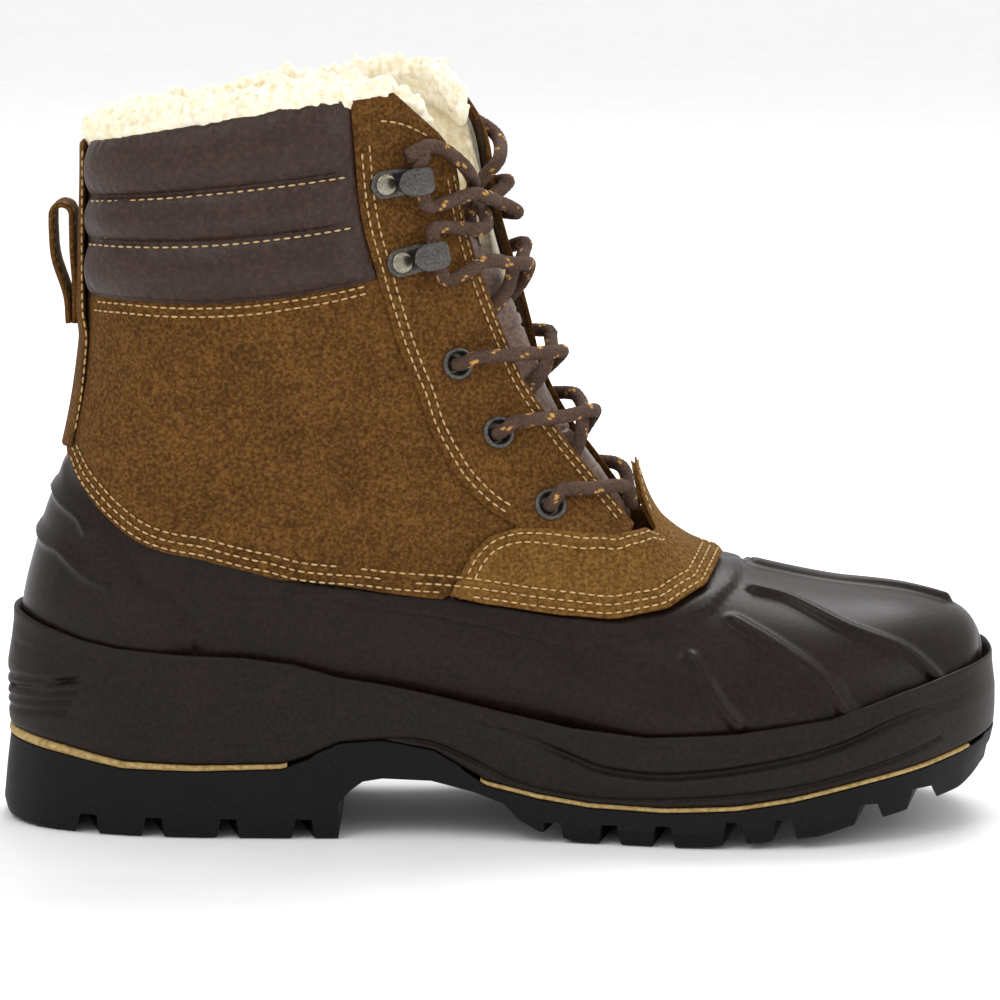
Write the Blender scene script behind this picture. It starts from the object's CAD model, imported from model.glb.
"""Insulated hunting boot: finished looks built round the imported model."""
import logging
import math
from dataclasses import dataclass, field
from enum import Enum
from typing import Callable, Iterable, Sequence

import bpy
import numpy as np
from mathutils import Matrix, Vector, noise


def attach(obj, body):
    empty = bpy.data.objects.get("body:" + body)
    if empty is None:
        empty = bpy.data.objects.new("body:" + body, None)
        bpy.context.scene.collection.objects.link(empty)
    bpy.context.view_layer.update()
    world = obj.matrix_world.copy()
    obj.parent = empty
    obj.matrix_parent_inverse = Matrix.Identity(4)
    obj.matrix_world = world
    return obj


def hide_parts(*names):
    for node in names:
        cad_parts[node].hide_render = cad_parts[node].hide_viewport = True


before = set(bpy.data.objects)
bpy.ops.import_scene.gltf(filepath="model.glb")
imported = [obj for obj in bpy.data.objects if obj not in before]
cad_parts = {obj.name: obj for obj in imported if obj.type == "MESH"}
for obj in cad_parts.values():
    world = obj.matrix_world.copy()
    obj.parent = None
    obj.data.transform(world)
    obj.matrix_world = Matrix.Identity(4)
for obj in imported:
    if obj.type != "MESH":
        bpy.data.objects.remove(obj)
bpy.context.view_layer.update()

log = logging.getLogger("boot")
MM = 0.001

# ---------------------------------------------------------------- the boot's body surface
# Front or top x and z, back or underside x and z, half width, widening below, squareness.
SECTIONS = np.array([
    [151.0, 50, 151.0, 38, 0.0, 0.15, 2.3], [149.2, 58.5, 148.7, 29, 17.0, 0.15, 2.3],
    [143.0, 65, 141.0, 25, 29.0, 0.16, 2.35], [127.0, 70, 124.0, 22, 40.0, 0.18, 2.35],
    [104.0, 73, 101.0, 19, 46.5, 0.20, 2.35], [80.0, 78, 72.0, 18, 49.0, 0.23, 2.3],
    [60.0, 84, 44.0, 18, 46.5, 0.26, 2.3], [47.0, 94, 18.0, 21.5, 42.5, 0.26, 2.3],
    [38.0, 106, -12.0, 25, 40.0, 0.22, 2.3], [31.0, 116, -50.0, 28.5, 38.5, 0.18, 2.3],
    [24.5, 126, -98.0, 30, 37.5, 0.15, 2.3], [19.0, 135, -134.0, 36, 37.5, 0.12, 2.3],
    [15.0, 144, -148.0, 60, 37.5, 0.10, 2.2], [11.5, 154, -142.5, 90, 37.5, 0.10, 2.15],
    [6.5, 167, -132.5, 119, 38.0, 0.08, 2.15], [1.0, 180, -127.0, 148, 39.0, 0.08, 2.15],
    [-3.5, 194, -125.0, 172, 39.5, 0.08, 2.15], [-6.0, 212, -123.5, 195, 40.0, 0.08, 2.15],
    [-8.0, 236, -123.0, 215, 40.0, 0.08, 2.15],
])
LAST_ROW = len(SECTIONS) - 1
TOE_LEAN = 3.0
SHAFT_TWIST = 6.5


def smoothstep(low: float, high: float, value: np.ndarray | float) -> np.ndarray:
    """Return the smooth share of the way from low to high."""
    share = np.clip((np.asarray(value, float) - low) / (high - low), 0.0, 1.0)
    return share * share * (3.0 - 2.0 * share)


def section_values(rows: np.ndarray) -> np.ndarray:
    """Return the section table's values at places between its rows."""
    index = np.clip(np.floor(rows).astype(int), 0, LAST_ROW - 1)
    f = (rows - index)[:, None]
    b = SECTIONS[index]
    c = SECTIONS[index + 1]
    a = np.where((index > 0)[:, None], SECTIONS[np.maximum(index - 1, 0)], 2 * b - c)
    d = np.where((index < LAST_ROW - 1)[:, None], SECTIONS[np.minimum(index + 2, LAST_ROW)], 2 * c - b)
    return 0.5 * (2 * b + (c - a) * f + (2 * a - 5 * b + 4 * c - d) * f * f
                  + (3 * b - a - 3 * c + d) * f ** 3)


def body_points(angles: np.ndarray, rows: np.ndarray, grow: np.ndarray | float = 0.0) -> np.ndarray:
    """Return points of the boot's body surface.

    Args:
        angles: degrees round the section from its front, negative on the outer side.
        rows: places along the section table.
        grow: millimetres outside the surface.

    Returns:
        Millimetre points, in the shape of angles with one more axis.
    """
    angles, rows, grow = np.broadcast_arrays(np.asarray(angles, float), rows, grow)
    shape = angles.shape
    angles, rows, grow = angles.ravel(), rows.ravel().astype(float), grow.ravel()
    side = np.where(angles < 0, -1.0, 1.0)
    turn = np.radians(np.abs(angles))
    v = section_values(rows)
    shift = grow * (1 - smoothstep(0, 3, rows))
    front = v[:, 0:2] + np.stack([shift, 0 * shift], 1)
    back = v[:, 2:4] + np.stack([shift, 0 * shift], 1)
    span = front - back
    length = np.linalg.norm(span, axis=1)
    along = span / length[:, None]
    roundness = 2 / v[:, 6]
    c = np.cos(turn)
    reach = np.sign(c) * np.abs(c) ** roundness * (length / 2 + grow)
    s = np.maximum(np.sin(turn), 0)
    out = np.where(s < 1e-9, 0, s ** roundness)
    nose = np.where(rows < 1, np.sqrt(np.clip(rows * (2 - rows), 0, 1)), 1.0)
    table_width = np.where(rows < 1, SECTIONS[1][4], v[:, 4])
    width = np.maximum(table_width + grow, 1) * nose
    middle = (front + back) / 2
    x = middle[:, 0] + along[:, 0] * reach
    z = middle[:, 1] + along[:, 1] * reach
    sideways = out * (1 - v[:, 5] * c)
    bulge = np.where(side < 0, 1 + 0.06 * smoothstep(0, 60, x) * (1 - smoothstep(100, 150, x)), 1.0)
    twist = SHAFT_TWIST * smoothstep(130, 200, z) * side * sideways
    lean = TOE_LEAN * smoothstep(40, 150, x)
    return np.stack([x + twist, side * width * sideways * bulge + lean, z], 1).reshape(*shape, 3)


def knots(pairs: Sequence[Sequence[float]]) -> Callable[[np.ndarray | float], np.ndarray]:
    """Return a function that runs straight through pairs of place and value."""
    places, values = np.array(pairs, float).T
    return lambda place: np.interp(place, places, values)


def softened(line: Callable, width: float) -> Callable[[np.ndarray | float], np.ndarray]:
    """Return a line of knots with its corners rounded over a width on each side."""
    return lambda place: sum(line(place + shift) for shift in np.linspace(-width, width, 9)) / 9


def walked_along(points: np.ndarray) -> np.ndarray:
    """Return how far along a polyline each of its points lies."""
    return np.concatenate([[0], np.cumsum(np.linalg.norm(np.diff(points, axis=0), axis=1))])


def spread_out(places: np.ndarray, least: float) -> np.ndarray:
    """Return sorted places with those that lie closer together than the least step left out."""
    kept = [places[0]]
    for place in places[1:-1]:
        if place - kept[-1] >= least and places[-1] - place >= least:
            kept.append(place)
    return np.array([*kept, places[-1]])


def flowing(points: Iterable[Sequence[float]], step: float) -> np.ndarray:
    """Return an even, smooth line through points, with the step between its places."""
    p = np.array(list(points), float)
    ends = np.vstack([2 * p[0] - p[1], p, 2 * p[-1] - p[-2]])
    fine = []
    for i in range(len(p) - 1):
        a, b, c, d = ends[i:i + 4]
        for f in np.linspace(0, 1, 16, endpoint=False):
            fine.append(0.5 * (2 * b + (c - a) * f + (2 * a - 5 * b + 4 * c - d) * f ** 2
                               + (3 * b - a - 3 * c + d) * f ** 3))
    fine.append(p[-1])
    return even(np.array(fine), step)


def even(points: np.ndarray, step: float) -> np.ndarray:
    """Return a polyline's points spaced evenly along it."""
    walked = walked_along(points)
    count = max(int(round(walked[-1] / step)), 1)
    places = np.linspace(0, walked[-1], count + 1)
    return np.stack([np.interp(places, walked, points[:, k]) for k in range(points.shape[1])], 1)


# ---------------------------------------------------------------- seam lines of the upper
# Angle and row of the line where the suede meets the shell.
SHELL_EDGE = [[0, 5.5], [22, 5.62], [40, 5.75], [62, 6.3], [78, 7.1], [87, 8.1], [90, 9.3], [92, 10.7],
              [98, 11.4], [106, 11.9], [121, 12.5], [131, 12.9], [142, 13.3], [157, 13.7], [168, 13.9],
              [180, 14.0]]
shell_edge = knots([[row, angle] for angle, row in SHELL_EDGE])
edge_row = knots(SHELL_EDGE)
facing_front = {
    -1: knots([[7.2, 36], [8.2, 34], [9.6, 31], [11, 29], [12.5, 31], [14, 33], [15.4, 31], [16.8, 29],
               [17.2, 34], [17.5, 42], [17.7, 52], [17.8, 60]]),
    1: knots([[7.2, 34], [8.2, 31], [9.6, 27], [11, 23], [12.5, 22], [14, 21], [15.4, 19], [16.8, 17],
              [17.2, 21], [17.5, 30], [17.7, 42], [17.8, 52]]),
}
facing_rear = {
    -1: knots([[9.3, 66], [11.3, 59], [12.7, 60], [13.9, 65], [15.7, 65], [17.8, 66]]),
    1: knots([[9.3, 66], [11.3, 59], [12.7, 60], [13.9, 66], [15.7, 68], [17.8, 72]]),
}
edge_row = softened(edge_row, 2.5)
shell_edge = softened(shell_edge, 0.14)
facing_front = {side: softened(line, 0.5) for side, line in facing_front.items()}
facing_rear = {side: softened(line, 0.6) for side, line in facing_rear.items()}
SIDE_NAMES = {-1: "lateral", 1: "medial"}
STRIP_ANGLE = 161.0
FACING_OUT = 3.8
QUARTER_OUT = 2.0
SUEDE_WALL = 1.4
VAMP_WALL = 1.9
THREAD_OUT = 0.1                  # how far thread stands out of the suede
SHELL_STITCHES = (1.7, 4.3, 6.9)  # rows of stitches above the shell's edge
STRIP_STEP = 1.4                  # the back strip stands this much further out over the collar


# ---------------------------------------------------------------- raised and sunk lines
@dataclass(frozen=True)
class Ridge:
    """A line that stands out of a surface, or sinks into it where its height is negative."""

    path: np.ndarray
    width: float
    height: float
    flat: float = 0.0

    def rise(self, points: np.ndarray) -> np.ndarray:
        """Return how far the line lifts each of the points, in millimetres."""
        flat_points = points.reshape(-1, 3)
        result = np.zeros(len(flat_points))
        reach = 3 * self.width + self.flat
        above, below = self.path.min(0) - reach, self.path.max(0) + reach
        near = np.all((flat_points > above) & (flat_points < below), axis=1)
        if not near.any():
            return result.reshape(points.shape[:-1])
        p = flat_points[near]
        best = np.full(len(p), 1e9)
        for a, b in zip(self.path[:-1], self.path[1:]):
            line = b - a
            share = np.clip((p - a) @ line / max(line @ line, 1e-9), 0, 1)
            best = np.minimum(best, np.linalg.norm(p - a - share[:, None] * line, axis=1))
        beyond = np.maximum(best - self.flat, 0)
        result[near] = self.height * np.exp(-(beyond / self.width) ** 2)
        return result.reshape(points.shape[:-1])


def surface_line(places: Sequence[Sequence[float]], side: int, grow: float = 0.0,
                 step: float = 2.0) -> np.ndarray:
    """Return a line on the body surface through places of angle and row on one side."""
    fine = flowing([[side * a, r] for a, r in places], 0.4)
    return even(body_points(fine[:, 0], fine[:, 1], grow), step)


# ---------------------------------------------------------------- finishes
class Texture(Enum):
    """The kinds of fine surface the boot has."""

    SUEDE = "suede"
    RUBBER = "rubber"
    LEATHER = "leather"
    PILE = "pile"
    METAL = "metal"
    BOARD = "board"
    WEAVE = "weave"


def linear(red: int, green: int, blue: int) -> tuple[float, float, float, float]:
    """Return a display colour as the linear colour a shader takes."""
    parts = [c / 255 for c in (red, green, blue)]
    return (*[c / 12.92 if c <= 0.04045 else ((c + 0.055) / 1.055) ** 2.4 for c in parts], 1.0)


@dataclass(frozen=True)
class Finish:
    """A procedural finish: three tones, a grain and a gloss."""

    name: str
    texture: Texture
    deep: tuple[int, int, int]
    body: tuple[int, int, int]
    light: tuple[int, int, int]
    roughness: float
    grain: float
    relief: float
    metallic: float = 0.0
    sheen: float = 0.0
    attribute: str = ""

    def material(self) -> bpy.types.Material:
        """Build the finish's material, or return the one already built."""
        label = self.name + "_finish"
        if label in bpy.data.materials:
            return bpy.data.materials[label]
        material = bpy.data.materials.new(label)
        material.use_nodes = True
        tree = material.node_tree
        tree.nodes.clear()
        output = tree.nodes.new("ShaderNodeOutputMaterial")
        shader = tree.nodes.new("ShaderNodeBsdfPrincipled")
        tree.links.new(shader.outputs["BSDF"], output.inputs["Surface"])
        shader.inputs["Metallic"].default_value = self.metallic
        shader.inputs["Sheen Weight"].default_value = self.sheen
        shader.inputs["Sheen Roughness"].default_value = 0.45
        shader.inputs["Sheen Tint"].default_value = linear(*self.light)
        shine = {Texture.RUBBER: 0.17, Texture.LEATHER: 0.32, Texture.METAL: 0.5}
        shader.inputs["Specular IOR Level"].default_value = shine.get(self.texture, 0.15)
        place = tree.nodes.new("ShaderNodeTexCoord").outputs["Object"]
        fine = self._noise(tree, place, self.grain, 6.0)
        broad = self._noise(tree, place, self.grain * 0.06, 3.0)
        blend = self._sum(tree, "MULTIPLY_ADD", fine, 0.8)
        tree.links.new(self._sum(tree, "MULTIPLY", broad, 0.2).outputs[0], blend.inputs[2])
        ramp = tree.nodes.new("ShaderNodeValToRGB")
        ramp.color_ramp.elements[0].position = 0.38
        ramp.color_ramp.elements[0].color = linear(*self.deep)
        ramp.color_ramp.elements[1].position = 0.62
        ramp.color_ramp.elements[1].color = linear(*self.light)
        middle = ramp.color_ramp.elements.new(0.5)
        middle.color = linear(*self.body)
        tree.links.new(blend.outputs[0], ramp.inputs[0])
        colour = ramp.outputs[0]
        if self.attribute:
            colour = self._flecked(tree, colour)
        tree.links.new(colour, shader.inputs["Base Color"])
        rough = tree.nodes.new("ShaderNodeMapRange")
        rough.inputs["To Min"].default_value = max(self.roughness - 0.09, 0.05)
        rough.inputs["To Max"].default_value = min(self.roughness + 0.09, 1.0)
        tree.links.new(broad, rough.inputs["Value"])
        tree.links.new(rough.outputs[0], shader.inputs["Roughness"])
        bump = tree.nodes.new("ShaderNodeBump")
        bump.inputs["Strength"].default_value = 1.0
        bump.inputs["Distance"].default_value = self.relief * MM
        tree.links.new(self._height(tree, place, fine), bump.inputs["Height"])
        tree.links.new(bump.outputs[0], shader.inputs["Normal"])
        return material

    @staticmethod
    def _sum(tree: bpy.types.NodeTree, operation: str, value: bpy.types.NodeSocket,
             number: float) -> bpy.types.ShaderNodeMath:
        """Add a sum of a socket and a number and return its node."""
        node = tree.nodes.new("ShaderNodeMath")
        node.operation = operation
        node.inputs[1].default_value = number
        tree.links.new(value, node.inputs[0])
        return node

    @staticmethod
    def _noise(tree: bpy.types.NodeTree, place: bpy.types.NodeSocket, scale: float,
               detail: float) -> bpy.types.NodeSocket:
        """Add a noise of a scale per metre and return its output."""
        node = tree.nodes.new("ShaderNodeTexNoise")
        node.inputs["Scale"].default_value = scale
        node.inputs["Detail"].default_value = detail
        node.inputs["Roughness"].default_value = 0.62
        tree.links.new(place, node.inputs["Vector"])
        return node.outputs["Fac"]

    def _height(self, tree: bpy.types.NodeTree, place: bpy.types.NodeSocket,
                fine: bpy.types.NodeSocket) -> bpy.types.NodeSocket:
        """Return the socket that gives the surface's relief."""
        if self.texture not in (Texture.LEATHER, Texture.WEAVE):
            return fine
        cells = tree.nodes.new("ShaderNodeTexVoronoi")
        cells.feature = "DISTANCE_TO_EDGE"
        cells.inputs["Scale"].default_value = self.grain
        tree.links.new(place, cells.inputs["Vector"])
        return self._sum(tree, "POWER", cells.outputs["Distance"], 0.5).outputs[0]

    def _flecked(self, tree: bpy.types.NodeTree, colour: bpy.types.NodeSocket) -> bpy.types.NodeSocket:
        """Mix the mesh's own colour attribute over the finish's tones and return the result."""
        source = tree.nodes.new("ShaderNodeAttribute")
        source.attribute_name = self.attribute
        mixed = tree.nodes.new("ShaderNodeMix")
        mixed.data_type = "RGBA"
        tree.links.new(source.outputs["Fac"], mixed.inputs["Factor"])
        tree.links.new(colour, mixed.inputs["A"])
        mixed.inputs["B"].default_value = linear(206, 152, 78)
        return mixed.outputs["Result"]


SUEDE = Finish("suede", Texture.SUEDE, (62, 39, 13), (88, 57, 23), (114, 79, 37), 0.95, 900, 0.22, sheen=0.06)
PALE_SUEDE = Finish("pale_suede", Texture.SUEDE, (78, 52, 20), (106, 73, 31), (130, 96, 46), 0.95, 900, 0.22,
                    sheen=0.06)
SHELL_RUBBER = Finish("shell_rubber", Texture.RUBBER, (20, 12, 8), (27, 17, 12), (35, 23, 17), 0.36, 700,
                      0.05)
SOLE_RUBBER = Finish("sole_rubber", Texture.RUBBER, (21, 15, 11), (28, 20, 15), (36, 27, 21), 0.5, 800, 0.06)
TREAD_RUBBER = Finish("tread_rubber", Texture.RUBBER, (7, 7, 7), (12, 11, 11), (18, 17, 16), 0.6, 900, 0.08)
TAN_RUBBER = Finish("tan_rubber", Texture.RUBBER, (140, 114, 66), (166, 140, 90), (186, 160, 108), 0.7, 700,
                    0.05)
COLLAR_LEATHER = Finish("collar_leather", Texture.LEATHER, (37, 22, 16), (48, 29, 21), (62, 39, 29), 0.42,
                        620, 0.1)
TONGUE_LEATHER = Finish("tongue_leather", Texture.LEATHER, (86, 66, 56), (108, 85, 73), (130, 105, 92), 0.4,
                        620, 0.1)
FLEECE = Finish("fleece", Texture.PILE, (236, 220, 184), (250, 241, 214), (255, 250, 234), 1.0, 420, 0.5,
                sheen=0.5)
THREAD = Finish("thread", Texture.WEAVE, (150, 118, 74), (190, 158, 108), (214, 186, 138), 0.8, 2500, 0.05)
COLLAR_THREAD = Finish("collar_thread", Texture.WEAVE, (160, 128, 84), (196, 166, 118), (216, 188, 142),
                       0.8, 2500,
                       0.05)
CORD = Finish("cord", Texture.WEAVE, (56, 41, 34), (80, 61, 51), (102, 80, 68), 0.8, 2200, 0.06,
              attribute="fleck")
GUNMETAL = Finish("gunmetal", Texture.METAL, (66, 64, 62), (84, 81, 78), (102, 99, 95), 0.4, 1500, 0.01,
                  metallic=0.9)
NICKEL = Finish("nickel", Texture.METAL, (122, 116, 102), (146, 139, 123), (168, 160, 142), 0.3, 1500, 0.01,
                metallic=0.95)
BACKING = Finish("backing", Texture.BOARD, (36, 25, 13), (50, 35, 19), (64, 46, 26), 0.9, 1200, 0.1)
FOAM = Finish("foam", Texture.BOARD, (168, 164, 150), (184, 180, 168), (200, 196, 184), 0.95, 900, 0.1)
BOARD = Finish("board", Texture.BOARD, (150, 126, 92), (176, 154, 120), (196, 176, 142), 0.9, 1200, 0.1)
STEEL = Finish("steel", Texture.METAL, (110, 110, 112), (140, 140, 142), (170, 170, 172), 0.35, 600, 0.02,
               metallic=1.0)


# ---------------------------------------------------------------- making meshes
def select_only(piece: bpy.types.Object) -> None:
    """Make one object the active and only selected one."""
    bpy.ops.object.select_all(action="DESELECT")
    piece.select_set(True)
    bpy.context.view_layer.objects.active = piece


def apply_modifier(piece: bpy.types.Object, kind: str, **settings: object) -> None:
    """Add a modifier with settings and apply it."""
    select_only(piece)
    modifier = piece.modifiers.new(kind.lower(), kind)
    for key, value in settings.items():
        setattr(modifier, key, value)
    bpy.ops.object.modifier_apply(modifier=modifier.name)


def edit(piece: bpy.types.Object, *steps: Callable[[], object]) -> None:
    """Run edit-mode operators on the whole of a piece's mesh."""
    select_only(piece)
    bpy.ops.object.mode_set(mode="EDIT")
    bpy.ops.mesh.select_all(action="SELECT")
    for step in steps:
        step()
    bpy.ops.object.mode_set(mode="OBJECT")


def face_outwards(piece: bpy.types.Object) -> None:
    """Turn a closed piece's faces outwards."""
    edit(piece, lambda: bpy.ops.mesh.normals_make_consistent(inside=False))


def smooth_below(piece: bpy.types.Object, degrees: float) -> None:
    """Shade a piece smooth, except at edges sharper than an angle."""
    select_only(piece)
    bpy.ops.object.shade_smooth_by_angle(angle=math.radians(degrees))


def placed(ahead: np.ndarray, side: np.ndarray, out: np.ndarray, at: np.ndarray) -> np.ndarray:
    """Return the four by four matrix with these three directions at a point."""
    matrix = np.eye(4)
    matrix[:3] = np.stack([ahead, side, out, at], 1)
    return matrix


def set_points(piece: bpy.types.Object, points: np.ndarray) -> None:
    """Move a mesh's points to places in millimetres."""
    piece.data.vertices.foreach_set("co", (points.reshape(-1, 3) * MM).ravel())
    piece.data.update()


def get_points(piece: bpy.types.Object) -> np.ndarray:
    """Return a mesh's points in millimetres."""
    flat = np.empty(len(piece.data.vertices) * 3)
    piece.data.vertices.foreach_get("co", flat)
    return flat.reshape(-1, 3) / MM


def skin(name: str, grid: np.ndarray, wall: float = 0.0,
         outward: np.ndarray | None = None) -> bpy.types.Object:
    """Shape a grid primitive into a skin through a grid of points.

    Args:
        name: the piece's name.
        grid: millimetre points in two directions.
        wall: thickness given inwards, or none.
        outward: a point inside the piece that its faces look away from, or none.

    Returns:
        The new object.
    """
    columns, rows = grid.shape[:2]
    bpy.ops.object.select_all(action="DESELECT")
    bpy.ops.mesh.primitive_grid_add(x_subdivisions=columns - 1, y_subdivisions=rows - 1, size=1)
    piece = bpy.context.active_object
    piece.name = name
    piece.data.name = name
    places = get_points(piece) * MM
    i = np.rint((places[:, 0] + 0.5) * (columns - 1)).astype(int)
    j = np.rint((places[:, 1] + 0.5) * (rows - 1)).astype(int)
    set_points(piece, grid[i, j])
    edit(piece, lambda: bpy.ops.mesh.remove_doubles(threshold=0.02 * MM),
         lambda: bpy.ops.mesh.dissolve_degenerate(threshold=0.005 * MM))
    if outward is not None:
        centres = np.array([polygon.center for polygon in piece.data.polygons]) / MM
        normals = np.array([polygon.normal for polygon in piece.data.polygons])
        if np.sum((centres - outward) * normals) < 0:
            edit(piece, lambda: bpy.ops.mesh.flip_normals())
    if wall:
        apply_modifier(piece, "SOLIDIFY", thickness=wall * MM, offset=-1.0, use_even_offset=False)
    select_only(piece)
    bpy.ops.object.shade_smooth()
    return piece


def dress(piece: bpy.types.Object, finish: Finish, body: str = "boot",
          replaces: Sequence[str] = ()) -> bpy.types.Object:
    """Give a piece its finish, its body and the nodes it stands for."""
    piece.data.materials.clear()
    piece.data.materials.append(finish.material())
    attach(piece, body)
    if replaces:
        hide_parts(*replaces)
    log.info("%s: %d faces, rides on %s", piece.name, len(piece.data.polygons), body)
    return piece


def join_as(name: str, pieces: Sequence[bpy.types.Object]) -> bpy.types.Object:
    """Join pieces into one object of the given name."""
    bpy.ops.object.select_all(action="DESELECT")
    for piece in pieces:
        piece.select_set(True)
    bpy.context.view_layer.objects.active = pieces[0]
    bpy.ops.object.join()
    pieces[0].name = name
    return pieces[0]


def project(points: np.ndarray, angles: np.ndarray, rows: np.ndarray) -> tuple[np.ndarray, np.ndarray]:
    """Find the surface places nearest to points, starting from guessed places."""
    angles, rows = angles.astype(float).copy(), rows.astype(float).copy()
    for _ in range(6):
        here = body_points(angles, rows)
        along_angle = body_points(angles + 0.5, rows) - here
        along_row = body_points(angles, rows + 0.02) - here
        miss = points - here
        aa = np.sum(along_angle ** 2, 1)
        bb = np.sum(along_row ** 2, 1)
        ab = np.sum(along_angle * along_row, 1)
        pa = np.sum(miss * along_angle, 1)
        pb = np.sum(miss * along_row, 1)
        det = np.maximum(aa * bb - ab * ab, 1e-9)
        angles += np.clip((pa * bb - pb * ab) / det * 0.5, -8, 8)
        rows += np.clip((pb * aa - pa * ab) / det * 0.02, -0.4, 0.4)
    return angles, rows


def beside(places: np.ndarray, distance: float) -> np.ndarray:
    """Shift a line of angle and row places sideways over the surface by a distance.

    Args:
        places: the line, as rows of angle and row.
        distance: millimetres to the left of the line as seen from outside.

    Returns:
        The shifted line in the same form.
    """
    here = body_points(places[:, 0], places[:, 1])
    out = body_points(places[:, 0], places[:, 1], 1.0) - here
    ahead = np.gradient(here, axis=0)
    left = np.cross(out, ahead)
    left /= np.maximum(np.linalg.norm(left, axis=1), 1e-9)[:, None]
    angles, rows = project(here + left * distance, places[:, 0], places[:, 1])
    return np.stack([angles, rows], 1)


# ---------------------------------------------------------------- patches of the surface
Grow = Callable[[np.ndarray, np.ndarray], np.ndarray]


def by_rows(side: int, rows: np.ndarray, start: Callable, end: Callable,
            columns: int) -> tuple[np.ndarray, np.ndarray]:
    """Return angle and row grids of one side: on each row between two angles."""
    share = np.linspace(0, 1, columns)[:, None]
    row_grid = np.broadcast_to(rows[None, :], (columns, len(rows)))
    angles = start(rows)[None, :] * (1 - share) + end(rows)[None, :] * share
    return side * angles, row_grid


def by_angles(angles: np.ndarray, low: Callable, high: Callable, count: int) -> tuple[np.ndarray, np.ndarray]:
    """Return angle and row grids: on each angle between two rows."""
    share = np.linspace(0, 1, count)[None, :]
    bottom, top = low(np.abs(angles))[:, None], high(np.abs(angles))[:, None]
    return np.broadcast_to(angles[:, None], (len(angles), count)), bottom * (1 - share) + top * share


def edge_distance(points: np.ndarray, edges: str) -> np.ndarray:
    """Return each grid point's distance from the nearest of some edges.

    Args:
        points: a grid of points.
        edges: letters naming the edges: s and e for the first and last column, b and t for rows.

    Returns:
        Millimetres, in the grid's shape.
    """
    across = np.cumsum(np.pad(np.linalg.norm(np.diff(points, axis=0), axis=2), ((1, 0), (0, 0))), 0)
    along = np.cumsum(np.pad(np.linalg.norm(np.diff(points, axis=1), axis=2), ((0, 0), (1, 0))), 1)
    choices = {"s": across, "e": across[-1:] - across, "b": along, "t": along[:, -1:] - along}
    return np.min(np.stack([np.broadcast_to(choices[e], points.shape[:2]) for e in edges]), 0)


def shaped(angles: np.ndarray, rows: np.ndarray, grow: np.ndarray | float, ridges: Sequence[Ridge] = (),
           shoulder: str = "", drop: float = 0.7, reach: float = 1.8) -> np.ndarray:
    """Return the points of a patch with its ridges raised and its cut edges rounded over."""
    plain = body_points(angles, rows, grow)
    lift = np.zeros(plain.shape[:2])
    for ridge in ridges:
        lift = lift + ridge.rise(plain)
    if shoulder:
        share = np.clip(edge_distance(plain, shoulder) / reach, 0, 1)
        lift = lift - drop * (1 - np.sqrt(np.clip(1 - (1 - share) ** 2, 0, 1)))
    return body_points(angles, rows, grow + lift)


def ruffle(points: np.ndarray, scale: float, amount: float, seed: float) -> np.ndarray:
    """Return seeded noise for each point, at a scale in millimetres."""
    flat = points.reshape(-1, 3) / scale + seed
    values = np.fromiter((noise.noise(Vector(p)) for p in flat), float, len(flat))
    return (values * amount).reshape(points.shape[:-1])


def closed_tube(name: str, rings: np.ndarray) -> bpy.types.Object:
    """Shape a closed body from rings of points, with its two ends filled.

    Args:
        name: the piece's name.
        rings: millimetre points, ring by ring, each ring closed on itself.

    Returns:
        The new object, its faces looking outwards.
    """
    grid = np.concatenate([rings, rings[:, :1]], 1)
    piece = skin(name, grid)
    edit(piece, lambda: bpy.ops.mesh.fill_holes(sides=0),
         lambda: bpy.ops.mesh.normals_make_consistent(inside=False))
    return piece


def merged(name: str, pieces: Sequence[bpy.types.Object]) -> bpy.types.Object:
    """Join skins that share an edge and merge the shared points."""
    whole = join_as(name, pieces)
    edit(whole, lambda: bpy.ops.mesh.remove_doubles(threshold=0.05 * MM))
    return whole


@dataclass(frozen=True)
class Thread:
    """The size of a stitch and the pitch of a row of them."""

    pitch: float = 2.9
    length: float = 2.25
    thickness: float = 0.62


def stitch_row(places: np.ndarray, grow: Callable | float, thread: Thread,
               closed_ends: float = 1.0) -> list[np.ndarray]:
    """Return the frames of the stitches that follow a line of angle and row places.

    Args:
        places: the line, as rows of angle and row.
        grow: how far outside the body surface the thread lies, or a function of angle and row.
        thread: the stitch size.
        closed_ends: millimetres left bare at each end.

    Returns:
        Four by four matrices in millimetres.
    """
    height = grow(places[:, 0], places[:, 1]) if callable(grow) else grow
    line = body_points(places[:, 0], places[:, 1], height)
    out_line = body_points(places[:, 0], places[:, 1], np.asarray(height) + 1.0) - line
    walked = walked_along(line)
    first = closed_ends + thread.length / 2
    last = walked[-1] - closed_ends - thread.length / 2 + 1e-6
    frames = []
    for middle in np.arange(first, last, thread.pitch):
        a, b = (np.array([np.interp(middle + d, walked, line[:, k]) for k in range(3)]) for d in (-0.8, 0.8))
        out = np.array([np.interp(middle, walked, out_line[:, k]) for k in range(3)])
        ahead = (b - a) / max(np.linalg.norm(b - a), 1e-9)
        side = np.cross(out, ahead)
        side /= max(np.linalg.norm(side), 1e-9)
        frames.append(placed(ahead, side, np.cross(ahead, side), (a + b) / 2))
    return frames


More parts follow.
